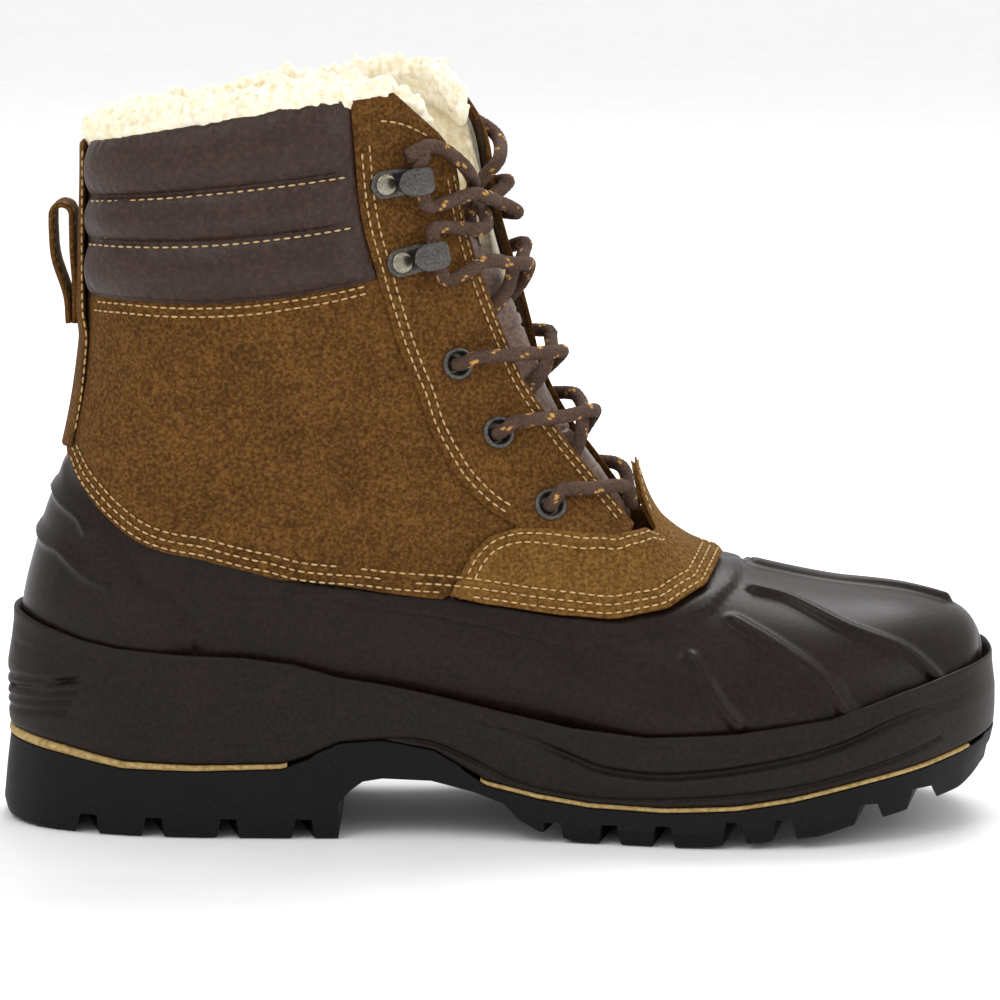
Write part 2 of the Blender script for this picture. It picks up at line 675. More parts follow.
def sewn(name: str, frames: Sequence[np.ndarray], thread: Thread, finish: Finish,
         body: str = "boot") -> bpy.types.Object:
    """Copy one stitch to every frame and join the copies into one piece of thread."""
    bpy.ops.object.select_all(action="DESELECT")
    bpy.ops.mesh.primitive_uv_sphere_add(segments=6, ring_count=5, radius=0.5)
    seed = bpy.context.active_object
    shape = get_points(seed) * MM
    shape = np.stack([shape[:, 2], shape[:, 0], shape[:, 1]], 1)
    tip = np.abs(shape[:, 0]) * 2
    arch = 1 - tip ** 4
    shape = np.stack([shape[:, 0] * thread.length, shape[:, 1] * thread.thickness * 1.15,
                      shape[:, 2] * thread.thickness + 0.16 * arch * thread.thickness - 0.12], 1)
    faces = [tuple(polygon.vertices) for polygon in seed.data.polygons]
    count = len(shape)
    points = np.concatenate([shape @ f[:3, :3].T + f[:3, 3] for f in frames]) * MM
    mesh = bpy.data.meshes.new(name)
    copies = [tuple(i + k * count for i in face) for k in range(len(frames)) for face in faces]
    mesh.from_pydata(points.tolist(), [], copies)
    seed.data = mesh
    seed.name = name
    face_outwards(seed)
    bpy.ops.object.shade_smooth()
    return dress(seed, finish, body)


# ---------------------------------------------------------------- the lace
LACE_ROUTE = [
    [-19.2, -19.4, 175.6], [-19.8, -18.8, 180.4], [-19.4, -17.6, 185.4], [-10.2, -6.6, 193.6],
    [-8.2, -10.2, 197.4], [-9, -18.6, 201.6], [-11.6, -26, 205.8], [-16.6, -29, 210], [-22, -33.6, 211.6],
    [-28, -37, 208.6], [-22.8, -35.2, 209.8], [-24.2, -36.2, 206.2], [-24, -36.2, 201.6], [-23, -35.8, 197],
    [-20.8, -34.2, 193.4], [-8.8, -23.2, 196.2], [-4.6, -16.6, 194.8], [-2, -8.2, 193.2], [-1.4, 0, 192],
    [3.2, 9, 189.2], [4.6, 14.4, 186.8], [-11, 34.8, 186.8], [-12, 35.6, 183.2], [-11.4, 35.6, 178.6],
    [-10.2, 35, 174.2], [-7.6, 33.4, 170.6], [6.8, 16, 177.4], [7.4, 11, 175.2], [6.4, 5.2, 172.8],
    [4.2, 0, 170.6], [2.2, -8.2, 165.4], [-2.6, -13.2, 159.2], [-8.8, -17.4, 152.2], [-10.8, -18.4, 147.2],
    [-13.8, -19.8, 145.8], [-15.4, -22.2, 145], [-15, -25.6, 145], [-13.6, -29.6, 145], [-12, -32.2, 145.4],
    [-9.8, -33, 146.2], [-6.8, -32.4, 147.4], [7, -22.4, 147.2], [13.2, -16.6, 146.8], [17.8, -8.6, 146.2],
    [19.2, 0, 145], [16, 6.6, 140.6], [10.2, 9.8, 135], [6.2, 13.6, 130], [1.8, 16.8, 125.2], [-1, 18.2,
                                                                                               123.4],
    [-2.6, 20.6, 122.4], [-2.2, 24, 122.6], [-1.2, 28, 123.4], [0.2, 30.6, 124.4], [2.2, 31.4, 125.6],
    [5, 30.8, 127.4], [21.4, 18.4, 129.8], [24.8, 13, 128.6], [26, 6.4, 126], [25.6, 0, 123.2],
    [24.8, -8.2, 119], [22.2, -13, 113.2], [19.4, -17.2, 106.8], [17.8, -20, 102.6], [15.4, -21.6, 100.2],
    [14.2, -24, 99.4], [14.2, -27.4, 100], [14.8, -31.4, 101.4], [15.8, -33.8, 103], [17.4, -34.6, 105],
    [19.4, -33.8, 107.2], [29.4, -28.6, 106.8], [36.4, -23.6, 106.8], [39.4, -19.2, 104.8], [40.4, -14,
                                                                                             100.2],
    [41.4, -9, 99.2], [42, 0, 99.8], [41.4, 8.6, 99.2], [40.4, 13.4, 100.2], [39.4, 18.4, 104.8],
    [36.4, 22.6, 106.8], [29.4, 27.8, 106.8], [19.6, 33.4, 107.2], [17.6, 34.4, 104.8], [16, 33.6, 103],
    [15, 31, 101.4], [14.2, 27.2, 100], [14.2, 23.8, 99.4], [15.4, 21.4, 100.4], [17.6, 19.8, 102.6],
    [20.6, 15.4, 108], [22.8, 11.6, 113.8], [27, 7.8, 121], [29.4, 0, 126.4], [28.2, -8.4, 127.8],
    [24.4, -16.2, 128.2], [18.6, -22, 127.8], [5, -30.8, 127.4], [2.2, -31.4, 125.6], [0.2, -30.6, 124.4],
    [-1.2, -28, 123.4], [-2.2, -24, 122.6], [-2.6, -20.6, 122.4], [-1, -18.2, 123.4], [1.8, -16.8, 125.2],
    [2.6, -16.4, 127.8], [8.2, -12.2, 134], [12.8, -7.6, 139], [14.8, 0, 142.8], [16, 5.6, 145.2],
    [15.8, 11.6, 147.8], [13.8, 16.6, 149.8], [-5.6, 32.4, 147], [-8.6, 33, 145.8], [-11, 32.2, 145.2],
    [-12.6, 29.6, 145], [-13.8, 25.6, 145], [-14.2, 22.2, 145.4], [-12.8, 19.8, 146.2], [-9.6, 18.4, 147.4],
    [-1.2, 12.6, 154.6], [2.2, 9, 160.4], [7, 6, 166.6], [9, 0, 172.2], [7.2, -8.8, 173.4], [2.4, -17.4,
                                                                                             174.6],
    [-3.8, -24, 175.8], [-15.2, -34.2, 171.2], [-18, -35.6, 174.6], [-19.4, -35.8, 179], [-20, -35.6, 183.6],
    [-19, -34.6, 187.2], [-5.6, -22.6, 185.6], [-4.4, -13.4, 188.4], [-6.2, 0, 191], [-2.6, 4.6, 192.8],
    [0.8, 10, 195], [2, 14.8, 197], [-10, 33.4, 193.6], [-12.2, 35, 197.4], [-13.2, 35.6, 201.8],
    [-13.6, 35.4, 206.4], [-12.4, 34.6, 210], [-19.6, 37.8, 212.4], [-13.6, 34, 215.6], [-6.6, 27, 214.2],
    [-0.6, 21, 209.8], [-0.2, 5.2, 204.6], [-4.4, 4.8, 199.6], [-7.8, 4.4, 194.8], [-9.4, 11.8, 186.4],
    [-9, 13.2, 181.6], [-8.4, 13.8, 177.2],
]


@dataclass
class Lacing:
    """The braided lace and its two tips."""

    radius: float = 2.2
    around: int = 20
    step: float = 0.62
    strands: int = 10
    path: np.ndarray = field(default_factory=lambda: np.array(LACE_ROUTE, float))

    def frames(self, line: np.ndarray) -> tuple[np.ndarray, np.ndarray]:
        """Return two directions across the line at each of its points, turning as little as they can."""
        ahead = np.gradient(line, axis=0)
        ahead /= np.linalg.norm(ahead, axis=1)[:, None]
        first = np.cross(ahead[0], [0.3, 1, 0.2])
        first /= np.linalg.norm(first)
        sides = [first]
        for direction in ahead[1:]:
            side = sides[-1] - direction * (sides[-1] @ direction)
            sides.append(side / np.linalg.norm(side))
        side = np.array(sides)
        return side, np.cross(ahead, side)

    def build_cord(self) -> bpy.types.Object:
        """Make the braided cord, with pale flecks woven into it."""
        line = flowing(self.path, self.step)
        for _ in range(2):
            line[1:-1] = (line[:-2] + 2 * line[1:-1] + line[2:]) / 4
        side, up = self.frames(line)
        walked = np.arange(len(line)) * self.step
        turn = np.arange(self.around) * 2 * math.pi / self.around
        s, a = np.meshgrid(walked, turn, indexing="ij")
        right = np.cos(self.strands / 2 * a + s * 2 * math.pi / 3.4)
        left = np.cos(self.strands / 2 * a - s * 2 * math.pi / 3.4)
        weave = np.maximum(right, left)
        reach = self.radius - 0.2 + 0.2 * weave
        rings = (line[:, None, :] + reach[:, :, None] * (np.cos(a)[:, :, None] * side[:, None, :]
                                                         + np.sin(a)[:, :, None] * up[:, None, :]))
        piece = closed_tube("lace_cord", rings)
        places = get_points(piece)
        best = np.empty(len(places), int)
        for start in range(0, len(places), 4000):
            chunk = places[start:start + 4000]
            apart = ((chunk[:, None, :] - line[None, ::2, :]) ** 2).sum(2)
            best[start:start + 4000] = np.argmin(apart, 1) * 2
        offset = places - line[best]
        around = np.arctan2(np.sum(offset * up[best], 1), np.sum(offset * side[best], 1))
        along = best * self.step
        lead = np.cos(self.strands / 2 * around + along * 2 * math.pi / 3.4)
        group = np.mod(along + 1.1 * np.sin(along * 0.21), 8.4) < 2.9
        share = np.mod(around / (2 * math.pi) + along * 0.031, 1.0)
        lit = (lead > 0.45) & group & ((share < 0.17) | ((share > 0.5) & (share < 0.66)))
        attribute = piece.data.attributes.new("fleck", "FLOAT", "POINT")
        attribute.data.foreach_set("value", lit.astype(np.float32))
        return dress(piece, CORD, replaces=["lace"])

    def build_tip(self, name: str, end: np.ndarray, before: np.ndarray) -> bpy.types.Object:
        """Turn one tip: a crimped sleeve with a rounded end."""
        axis = (end - before) / np.linalg.norm(end - before)
        profile = [[0.0, 0.3], [0.25, 0.35], [2.1, 0.3], [2.45, 0.6], [2.45, 1.6], [2.2, 2.0], [2.45, 2.4],
                   [2.4, 6.0], [2.25, 12.5], [1.9, 15.0], [1.2, 15.8], [0.3, 16.0], [0.0, 16.0]]
        side = np.cross(axis, [0.2, 1.0, 0.1])
        side /= np.linalg.norm(side)
        up = np.cross(axis, side)
        turn = np.linspace(0, 2 * math.pi, 24, endpoint=False)
        rings = np.array([end + axis * h + r * (np.cos(turn)[:, None] * side + np.sin(turn)[:, None] * up)
                          for r, h in profile[1:-1]])
        piece = closed_tube(name + "_sleeve", rings)
        return dress(piece, AGLET, replaces=[name])

    def build(self) -> None:
        cord = self.build_cord()
        tips = [self.build_tip("aglet_lateral", self.path[0], self.path[1]),
                self.build_tip("aglet_medial", self.path[-1], self.path[-2])]


AGLET = Finish("aglet", Texture.RUBBER, (30, 24, 21), (40, 32, 28), (54, 44, 38), 0.3, 500, 0.02)


# ---------------------------------------------------------------- rubber shell
def both(places: Sequence[Sequence[float]], width: float, height: float, flat: float = 0.0,
         grow: float = 0.0) -> list[Ridge]:
    """Return a raised line on each side of the boot."""
    return [Ridge(surface_line(places, side, grow), width, height, flat) for side in (-1, 1)]


@dataclass
class RubberShell:
    """The moulded rubber that wraps the foot and heel, with its ribs and steps."""

    wall: float = 1.8
    lap: float = 0.12

    def ribs(self) -> list[Ridge]:
        """Return the raised and sunk lines of the moulding."""
        lines: list[Ridge] = []
        lines.append(Ridge(flowing([[80, 0.8, 78.6], [95, 1.4, 75.6], [112, 1.9, 72.9], [128, 2.4, 70.2],
                                    [139, 2.8, 66.6]], 1.5), 1.7, 2.3, 0.8))
        lines += both([[32, 5.05], [34, 4.6], [50, 3.9], [66, 3.1], [86, 2.5]], 1.35, 2.3, 0.7)
        lines += both([[56, 5.3], [65, 4.8], [82, 4.2], [106, 3.7]], 1.35, 2.2, 0.7)
        lines += both([[79, 5.8], [90, 5.5], [106, 5.1]], 1.3, 1.9, 0.6)
        lines += both([[176, 13.5], [165, 13.42], [146, 13.12], [139, 12.86]], 1.2, 1.8, 0.5)
        lines += both([[177, 13.05], [160, 12.88], [147, 12.7], [128, 12.1]], 1.2, 1.8, 0.5)
        lines += both([[107.5, 11.91], [109.3, 11.52], [112.8, 11.14], [118.7, 10.8]], 0.9, -1.1)
        lines += both([[103.9, 11.3], [95.4, 10.62], [90.4, 9.22]], 0.9, -0.35)
        return lines

    def bands(self, angles: np.ndarray, rows: np.ndarray) -> np.ndarray:
        """Return how far the moulded band under the suede and the heel panel stand out."""
        turn = np.abs(angles)
        step = knots([[0, 5.15], [7, 5.2], [31, 5.3], [53, 5.6], [72, 6.2], [86, 7.0], [93, 7.7], [94, 8.1],
                      [96, 10.4]])
        band = smoothstep(0.0, 0.06, rows - step(turn)) * smoothstep(0, 0.12, edge_row(turn) - rows - 0.02)
        band = band * (1 - smoothstep(93, 97, turn))
        heel_low = knots([[112, 11.6], [116, 11.73], [119, 11.86], [122, 12.22], [129, 12.66], [134, 13.0],
                          [170, 13.8], [180, 13.85]])
        heel = smoothstep(112.5, 115.5, turn) * (1 - smoothstep(-0.09, 0.0, rows - heel_low(turn)))
        heel = heel * smoothstep(10.7, 11.1, rows)
        return 0.95 * band * smoothstep(4, 16, turn + 12) + 1.1 * heel

    def build(self) -> None:
        """Make the shell as one skin from toe to heel."""
        angles = spread_out(np.unique(np.concatenate([np.linspace(-180, 180, 331), np.linspace(-97, -84, 27),
                                                      np.linspace(84, 97, 27)])), 0.45)
        low = knots([[0, 0], [100, 0], [112, 2.0], [128, 7.5], [140, 9.6], [180, 10.4]])
        high = lambda turn: np.minimum(edge_row(turn) + self.lap, 14.0)
        rows = np.concatenate([np.linspace(0, 2, 34), np.linspace(2.06, 9.5, 120),
                               np.linspace(9.55, 14, 110)])
        turn = np.abs(angles)[:, None]
        angle_grid = np.broadcast_to(angles[:, None], (len(angles), len(rows)))
        row_grid = np.clip(rows[None, :], low(turn), high(turn))
        grow = self.bands(angle_grid, row_grid)
        points = body_points(angle_grid, row_grid, grow + self.lift(angle_grid, row_grid, grow))
        piece = skin("shell", points, self.wall, np.array([0.0, 0.0, 50.0]))
        dress(piece, SHELL_RUBBER, replaces=["rubber_shell"])

    def lift(self, angles: np.ndarray, rows: np.ndarray, grow: np.ndarray) -> np.ndarray:
        """Return the ribs' rise, measured from the unraised surface, with the skin's slight waviness."""
        plain = body_points(angles, rows, grow)
        rise = sum((ridge.rise(plain) for ridge in self.ribs()), np.zeros(plain.shape[:2]))
        return rise + ruffle(plain, 26.0, 0.22, 3.1)


# ---------------------------------------------------------------- sole unit
# Outline of the foot's sole: x and half width, from the heel to the toe.
HEEL_OUTLINE = [[-149.3, 0], [-148.2, 9.6], [-144, 16.8], [-136, 23.8], [-120, 31.1], [-100, 35.4],
                [-70, 36.9], [-40, 37.2]]
SOLE_HALVES = {
    -1: HEEL_OUTLINE + [[0, 39.3], [30, 44.6], [60, 51.2], [80, 52], [100, 49.6], [120, 43.6], [136, 33],
                        [144, 25.8], [149, 18], [151.8, 9.8], [152.6, -3]],
    1: HEEL_OUTLINE + [[0, 39.2], [30, 43.4], [60, 49.8], [80, 51.7], [100, 50.5], [120, 46.6], [136, 38.5],
                       [144, 31.8], [149, 24], [151.8, 15], [152.6, 3]],
}
feather_line = knots([[-150, 66], [-140, 62.5], [-128, 59], [-117, 57], [-95, 55.5], [-78, 55], [-63, 53],
                      [-49, 49], [-36, 47], [-21, 44], [0, 39], [22, 34.5], [45, 32.5], [72, 34.5], [100,
                                                                                                     38.5],
                      [122, 45.5], [139, 49.5], [152, 52]])
wall_foot = knots([[-154, 30.7], [-133, 27], [-115, 23.4], [-93, 22.8], [-67, 23.4], [-58, 26], [-49, 30],
                   [-36, 31], [-20, 28], [-4, 18.6], [12, 15], [28, 12.8], [50, 12.3], [72, 13.6], [88, 16],
                   [111, 21], [129, 24.6], [141, 27.2], [152, 30]])
stripe_height = knots([[-154, 2.6], [-110, 1.5], [-66, 0.9], [-57, 0], [-11, 0], [-2, 0.8], [140, 0.8],
                       [148, 0]])
shell_under = knots([[-148, 60], [-134, 36], [-98, 30], [-50, 28.5], [-12, 25], [18, 21.5], [44, 18], [72,
                                                                                                       18],
                     [101, 19], [124, 22], [141, 25], [148.7, 29]])
ground = knots([[-156, 3], [-149, 1], [-140, 0], [56, 0], [80, 2], [96, 3.4], [108, 6.6], [120, 8.7],
                [142, 13.5], [150, 18]])
flare = knots([[-156, 1.2], [-120, 0.4], [100, 0], [140, -3], [152, -5]])
SEAM = 0.6


def outsole_top(x: np.ndarray) -> np.ndarray:
    """Return the height of the tread layer's top edge."""
    height = stripe_height(x)
    return wall_foot(x) - SEAM - np.where(height > 0, height + SEAM, 0)


def pan_under(x: np.ndarray) -> np.ndarray:
    """Return the height of the cup sole's underside."""
    return np.minimum(outsole_top(x) + SEAM, shell_under(x) - 4.0)


@dataclass
class SoleUnit:
    """The cup sole with its moulded wall, the two tan stripes and the lugged tread."""

    wall: float = 4.6
    steps: int = 330
    tread_places: Sequence[float] = (-134, -114.6, -92, -69, 26, 44, 61, 83, 98, 123, 138)
    points: np.ndarray = field(init=False)
    outs: np.ndarray = field(init=False)

    def __post_init__(self) -> None:
        """Lay out the closed outline of the foot and its outward directions."""
        halves = {}
        for side, table in SOLE_HALVES.items():
            signed = [[x, side * y] for x, y in table]
            line = flowing(signed, 0.5)
            walked = walked_along(line)
            places = np.linspace(0, walked[-1], self.steps + 1)
            halves[side] = np.stack([np.interp(places, walked, line[:, k]) for k in (0, 1)], 1)
        loop = np.concatenate([halves[-1][:-1], halves[1][::-1][:-1]])
        for _ in range(6):
            loop = (np.roll(loop, 1, 0) + 2 * loop + np.roll(loop, -1, 0)) / 4
        tangent = np.roll(loop, -1, 0) - np.roll(loop, 1, 0)
        self.points = loop
        self.outs = np.stack([tangent[:, 1], -tangent[:, 0]], 1) / np.linalg.norm(tangent, axis=1)[:, None]

    def ring(self, grow: np.ndarray | float, height: np.ndarray | float) -> np.ndarray:
        """Return one closed outline, grown by an amount, at a height."""
        x = self.points[:, 0]
        reach = np.broadcast_to(np.asarray(grow, float), x.shape)
        reach = np.where(reach > 0, reach * (1 - 0.5 * smoothstep(125, 152, x)), reach)
        flat = self.points + self.outs * reach[:, None]
        return np.concatenate([flat, np.broadcast_to(np.asarray(height, float), x.shape)[:, None]], 1)

    def wall_lines(self) -> list[Ridge]:
        """Return the grooves, creases and ridges moulded into the wall, on both sides of the boot."""
        sketches = [
            ([[-6.1, 35.4], [7, 32.3], [20.4, 26.9], [31, 23.2], [46.7, 21.8], [62.3, 23.1], [78, 25.4],
              [93.8, 28.5],
              [107.3, 32.5], [119.3, 37.6], [131.8, 40.9], [144.8, 43.4]], 0.95, -2.1, 0.3),
            ([[-151.3, 55.9], [-128.7, 54.5], [-114.6, 54.2]], 0.8, -1.5, 0.1),
            ([[-152.5, 42.3], [-139.9, 44.7], [-127.9, 48.9], [-115.8, 54.2]], 0.8, -1.6, 0.1),
            ([[-114.6, 51.1], [-91.4, 53.1], [-60.9, 51.1], [-39.6, 47.1], [-24.4, 42.6], [-9.1, 36.9]],
             1.0, -1.7, 0.2),
            ([[-150.2, 28.9], [-135.5, 26.6], [-122.8, 23.8], [-113.4, 21.8], [-91.7, 21.9], [-64.2, 22.8],
              [-55, 27.2], [-45.8, 30], [-24.4, 30.5], [-9.2, 25.1], [6.1, 17.6], [30.4, 13.9], [60.6, 15.4],
              [90.9, 19], [115.5, 24.8], [134.6, 30.9]], 0.75, -1.3, 0.0),
        ]
        lines = []
        for side in (-1, 1):
            for sketch, width, height, flat in sketches:
                lines.append(Ridge(self.on_wall(sketch, side), width, height, flat))
        for z in (36.5, 39.6, 42.6, 46.4):
            tail = [[-128 - 3 * (46 - z) * 0.2, z + 0.6], [-140, z], [-150, z - 0.8], [-154, z - 1]]
            for side in (-1, 1):
                lines.append(Ridge(self.on_wall(tail, side), 0.75, -1.4, 0.1))
        return lines

    def on_wall(self, sketch: Sequence[Sequence[float]], side: int) -> np.ndarray:
        """Return a side-view line laid on the wall of one side."""
        line = flowing(sketch, 2.0)
        half = self.points[self.points[:, 1] * side >= -0.5]
        outs = self.outs[self.points[:, 1] * side >= -0.5]
        order = np.argsort(half[:, 0])
        wall = half + outs * self.wall
        y = np.interp(line[:, 0], wall[order, 0], wall[order, 1])
        return np.stack([line[:, 0], y, line[:, 1]], 1)

    def build_wall(self) -> bpy.types.Object:
        """Make the cup sole: its wall, its lip along the upper and its floor."""
        x = self.points[:, 0]
        foot, top = wall_foot(x), feather_line(x)
        shares = np.linspace(0, 1, 44)
        profile = knots([[0, self.wall - 0.9], [0.04, self.wall - 0.2], [0.25, self.wall + 0.2],
                         [0.55, self.wall], [0.75, self.wall - 1.2], [0.9, self.wall - 1.9],
                         [1.0, self.wall - 2.0]])
        wall_grid = np.array([self.ring(profile(s), foot + (top - foot) * s) for s in shares])
        lift = sum((ridge.rise(wall_grid) for ridge in self.wall_lines()), np.zeros(wall_grid.shape[:2]))
        panel = smoothstep(-112, -104, x) * (1 - smoothstep(-30, -8, x))
        swell = np.sin(np.pi * np.clip(shares, 0, 1))[:, None] * panel[None, :]
        lift = lift - 1.3 * swell + ruffle(wall_grid, 30.0, 0.2, 7.7)
        wall_grid[:, :, :2] += self.outs[None] * lift[:, :, None]
        lip = self.wall - 2.0
        pan = shell_under(x) - 1.0
        rings = [self.ring(0.8, pan_under(x)), self.ring(0.8, np.maximum(foot, pan_under(x) + 0.1)),
                 self.ring(self.wall - 1.4, foot), *wall_grid, self.ring(lip - 0.15, top + 0.5),
                 self.ring(lip - 0.6, top + 0.85), self.ring(lip - 1.2, top + 0.8),
                 self.ring(lip - 1.6, top + 0.3),
                 self.ring(-0.2, top - 0.6), self.ring(-0.5, np.minimum(pan, top - 1.0))]
        piece = closed_tube("cup_sole", np.array(rings))
        return dress(piece, SOLE_RUBBER, replaces=["midsole"])

    def build_stripe(self, name: str, low: float, high: float, node: str) -> bpy.types.Object:
        """Make one tan stripe between the wall and the tread."""
        x = self.points[:, 0]
        height = np.maximum(stripe_height(x), 0.6)
        top = wall_foot(x) - 0.35
        under = top - height - 0.5
        rounded = [(1.0, 1.0), (self.wall - 1.0, 1.0), (self.wall - 0.35, 0.8), (self.wall - 0.15, 0.5),
                   (self.wall - 0.35, 0.2), (self.wall - 1.0, 0.0), (1.0, 0.0)]
        section = np.array([self.ring(g, under + (top - under) * s) for g, s in rounded])
        inside = (x >= low) & (x <= high)
        if low < -150:
            middle = np.argmin(x)
            order = np.roll(np.arange(len(x)), len(x) // 2 - middle)
            chosen = [i for i in order if inside[i]]
            parts = [section[:, chosen]]
        else:
            parts = [section[:, inside & (self.points[:, 1] * side > 0)] for side in (-1, 1)]
        pieces = [closed_tube(f"{name}_{i}", np.transpose(part, (1, 0, 2))) for i, part in enumerate(parts)]
        return dress(join_as(name, pieces), TAN_RUBBER, replaces=[node])

    def wedge(self, x: float, side: int) -> bpy.types.Object:
        """Make one cutter for a groove of the tread, wider at the ground than at its floor."""
        depth = 6.2 - 2.6 * float(smoothstep(85, 115, x))
        bpy.ops.object.select_all(action="DESELECT")
        bpy.ops.mesh.primitive_cube_add(size=1)
        cutter = bpy.context.active_object
        p = get_points(cutter) * MM
        half = np.where(p[:, 2] < 0, 4.6, 2.4)
        lean = math.radians(side * 12 * (-1 if x < -60 else 1))
        local = np.stack([np.sign(p[:, 0]) * half, p[:, 1] * 90 + side * 44.5, p[:, 2] * 2 * depth], 1)
        turned = np.stack([local[:, 0] * math.cos(lean) - local[:, 1] * math.sin(lean) + x,
                           local[:, 0] * math.sin(lean) + local[:, 1] * math.cos(lean),
                           local[:, 2] + float(ground(x))], 1)
        set_points(cutter, turned)
        return cutter

    def arch(self) -> bpy.types.Object:
        """Make the cutter that leaves the arch open between heel and forefoot."""
        line = [[-49.5, -20], [-49.5, 11], [-46, 15], [-42, 18], [-36, 19], [-21, 18.4], [-8, 15], [1, 11.6],
                [5.5, 7], [12, 3.4], [22, 0.8], [30, -1], [30, -20]]
        ring = np.array([[[x, y, z] for x, z in line] for y in (-90.0, 90.0)])
        return closed_tube("arch_cutter", ring)

    def build_tread(self) -> bpy.types.Object:
        """Make the lugged tread."""
        x = self.points[:, 0]
        top = outsole_top(x) + 0.25
        low = ground(x)
        spread = flare(x)
        rings = [self.ring(spread - 1.5, low), self.ring(3.0 + spread, low), self.ring(3.9 + spread,
                                                                                       low + 0.5),
                 self.ring(4.4 + spread, low + 1.4), self.ring(self.wall + 0.7 + spread, low + 5),
                 self.ring(self.wall + 0.2 + spread * 0.5, low * 0.4 + top * 0.6),
                 self.ring(self.wall - 0.5, top - 0.3), self.ring(self.wall - 0.9, top),
                 self.ring(1.0, np.minimum(top - 0.6, pan_under(x) - 0.9))]
        piece = closed_tube("tread", np.array(rings))
        cutters = [self.wedge(place, side) for place in self.tread_places for side in (-1, 1)] + [self.arch()]
        for side in (-1, 1):
            for start, end in ((-128, -60), (34, 92)):
                bpy.ops.object.select_all(action="DESELECT")
                bpy.ops.mesh.primitive_cube_add(size=1)
                channel = bpy.context.active_object
                p = get_points(channel) * MM
                set_points(channel, np.stack([(start + end) / 2 + p[:, 0] * (end - start),
                                              side * 16 + p[:, 1] * np.where(p[:, 2] < 0, 5.4, 3.0),
                                              -8 + (p[:, 2] + 0.5) * 12], 1))
                cutters.append(channel)
        for cutter in cutters:
            face_outwards(cutter)
            whole = piece.data.copy()
            apply_modifier(piece, "BOOLEAN", object=cutter, operation="DIFFERENCE", solver="EXACT")
            if len(piece.data.polygons) < 0.6 * len(whole.polygons):
                log.warning("a tread cut left %d of %d faces", len(piece.data.polygons), len(whole.polygons))
                piece.data = whole
            bpy.data.objects.remove(cutter)
        smooth_below(piece, 32)
        return dress(piece, TREAD_RUBBER, replaces=["outsole"])

    def build(self) -> None:
        """Make every layer of the sole."""
        self.build_wall()
        self.build_stripe("heel_tan_stripe", -160, -64, "heel_stripe")
        self.build_stripe("forefoot_tan_stripe", -6, 143, "forefoot_stripe")
        self.build_tread()


# ---------------------------------------------------------------- suede upper
def vamp_high(turn: np.ndarray) -> np.ndarray:
    """Return the row of the vamp's upper edge at an angle."""
    line = knots([[0, 7.98], [2, 7.98], [9, 7.9], [14, 7.72], [18, 7.4], [20.5, 7.08], [23, 6.9], [28, 6.95],
                  [31, 7.1], [38, 7.3], [49, 7.7], [57, 8.3], [62, 8.9], [66, 9.3], [71, 9.5], [77, 9.5],
                  [88, 9.3], [90, 9.3]])
    return line(turn)


def tab_lean(turn: np.ndarray, rows: np.ndarray) -> np.ndarray:
    """Return how far the throat tab stands away from the tongue."""
    lean = 6.6 * smoothstep(6.7, 8.5, rows) ** 0.75
    return lean * (1 - smoothstep(20, 32, turn))


def seam(places: Sequence[Sequence[float]], side: int, offset: float = 0.0, step: float = 0.7) -> np.ndarray:
    """Return a smooth line of angle and row places on one side, shifted over the surface.

    Args:
        places: angle and row knots.
        side: -1 or 1.
        offset: millimetres to the left of the line's way, as seen on the outer side of the boot.
        step: millimetres between the line's places.
    """
    rough = np.array([[side * a, r] for a, r in places], float)
    fine = flowing(rough * [1.0, 10.0], 0.5) / [1.0, 10.0]
    world = body_points(fine[:, 0], fine[:, 1])
    walked = walked_along(world)
    at = np.linspace(0, walked[-1], max(int(walked[-1] / step), 4))
    line = np.stack([np.interp(at, walked, fine[:, k]) for k in (0, 1)], 1)
    return beside(line, -side * offset) if offset else line


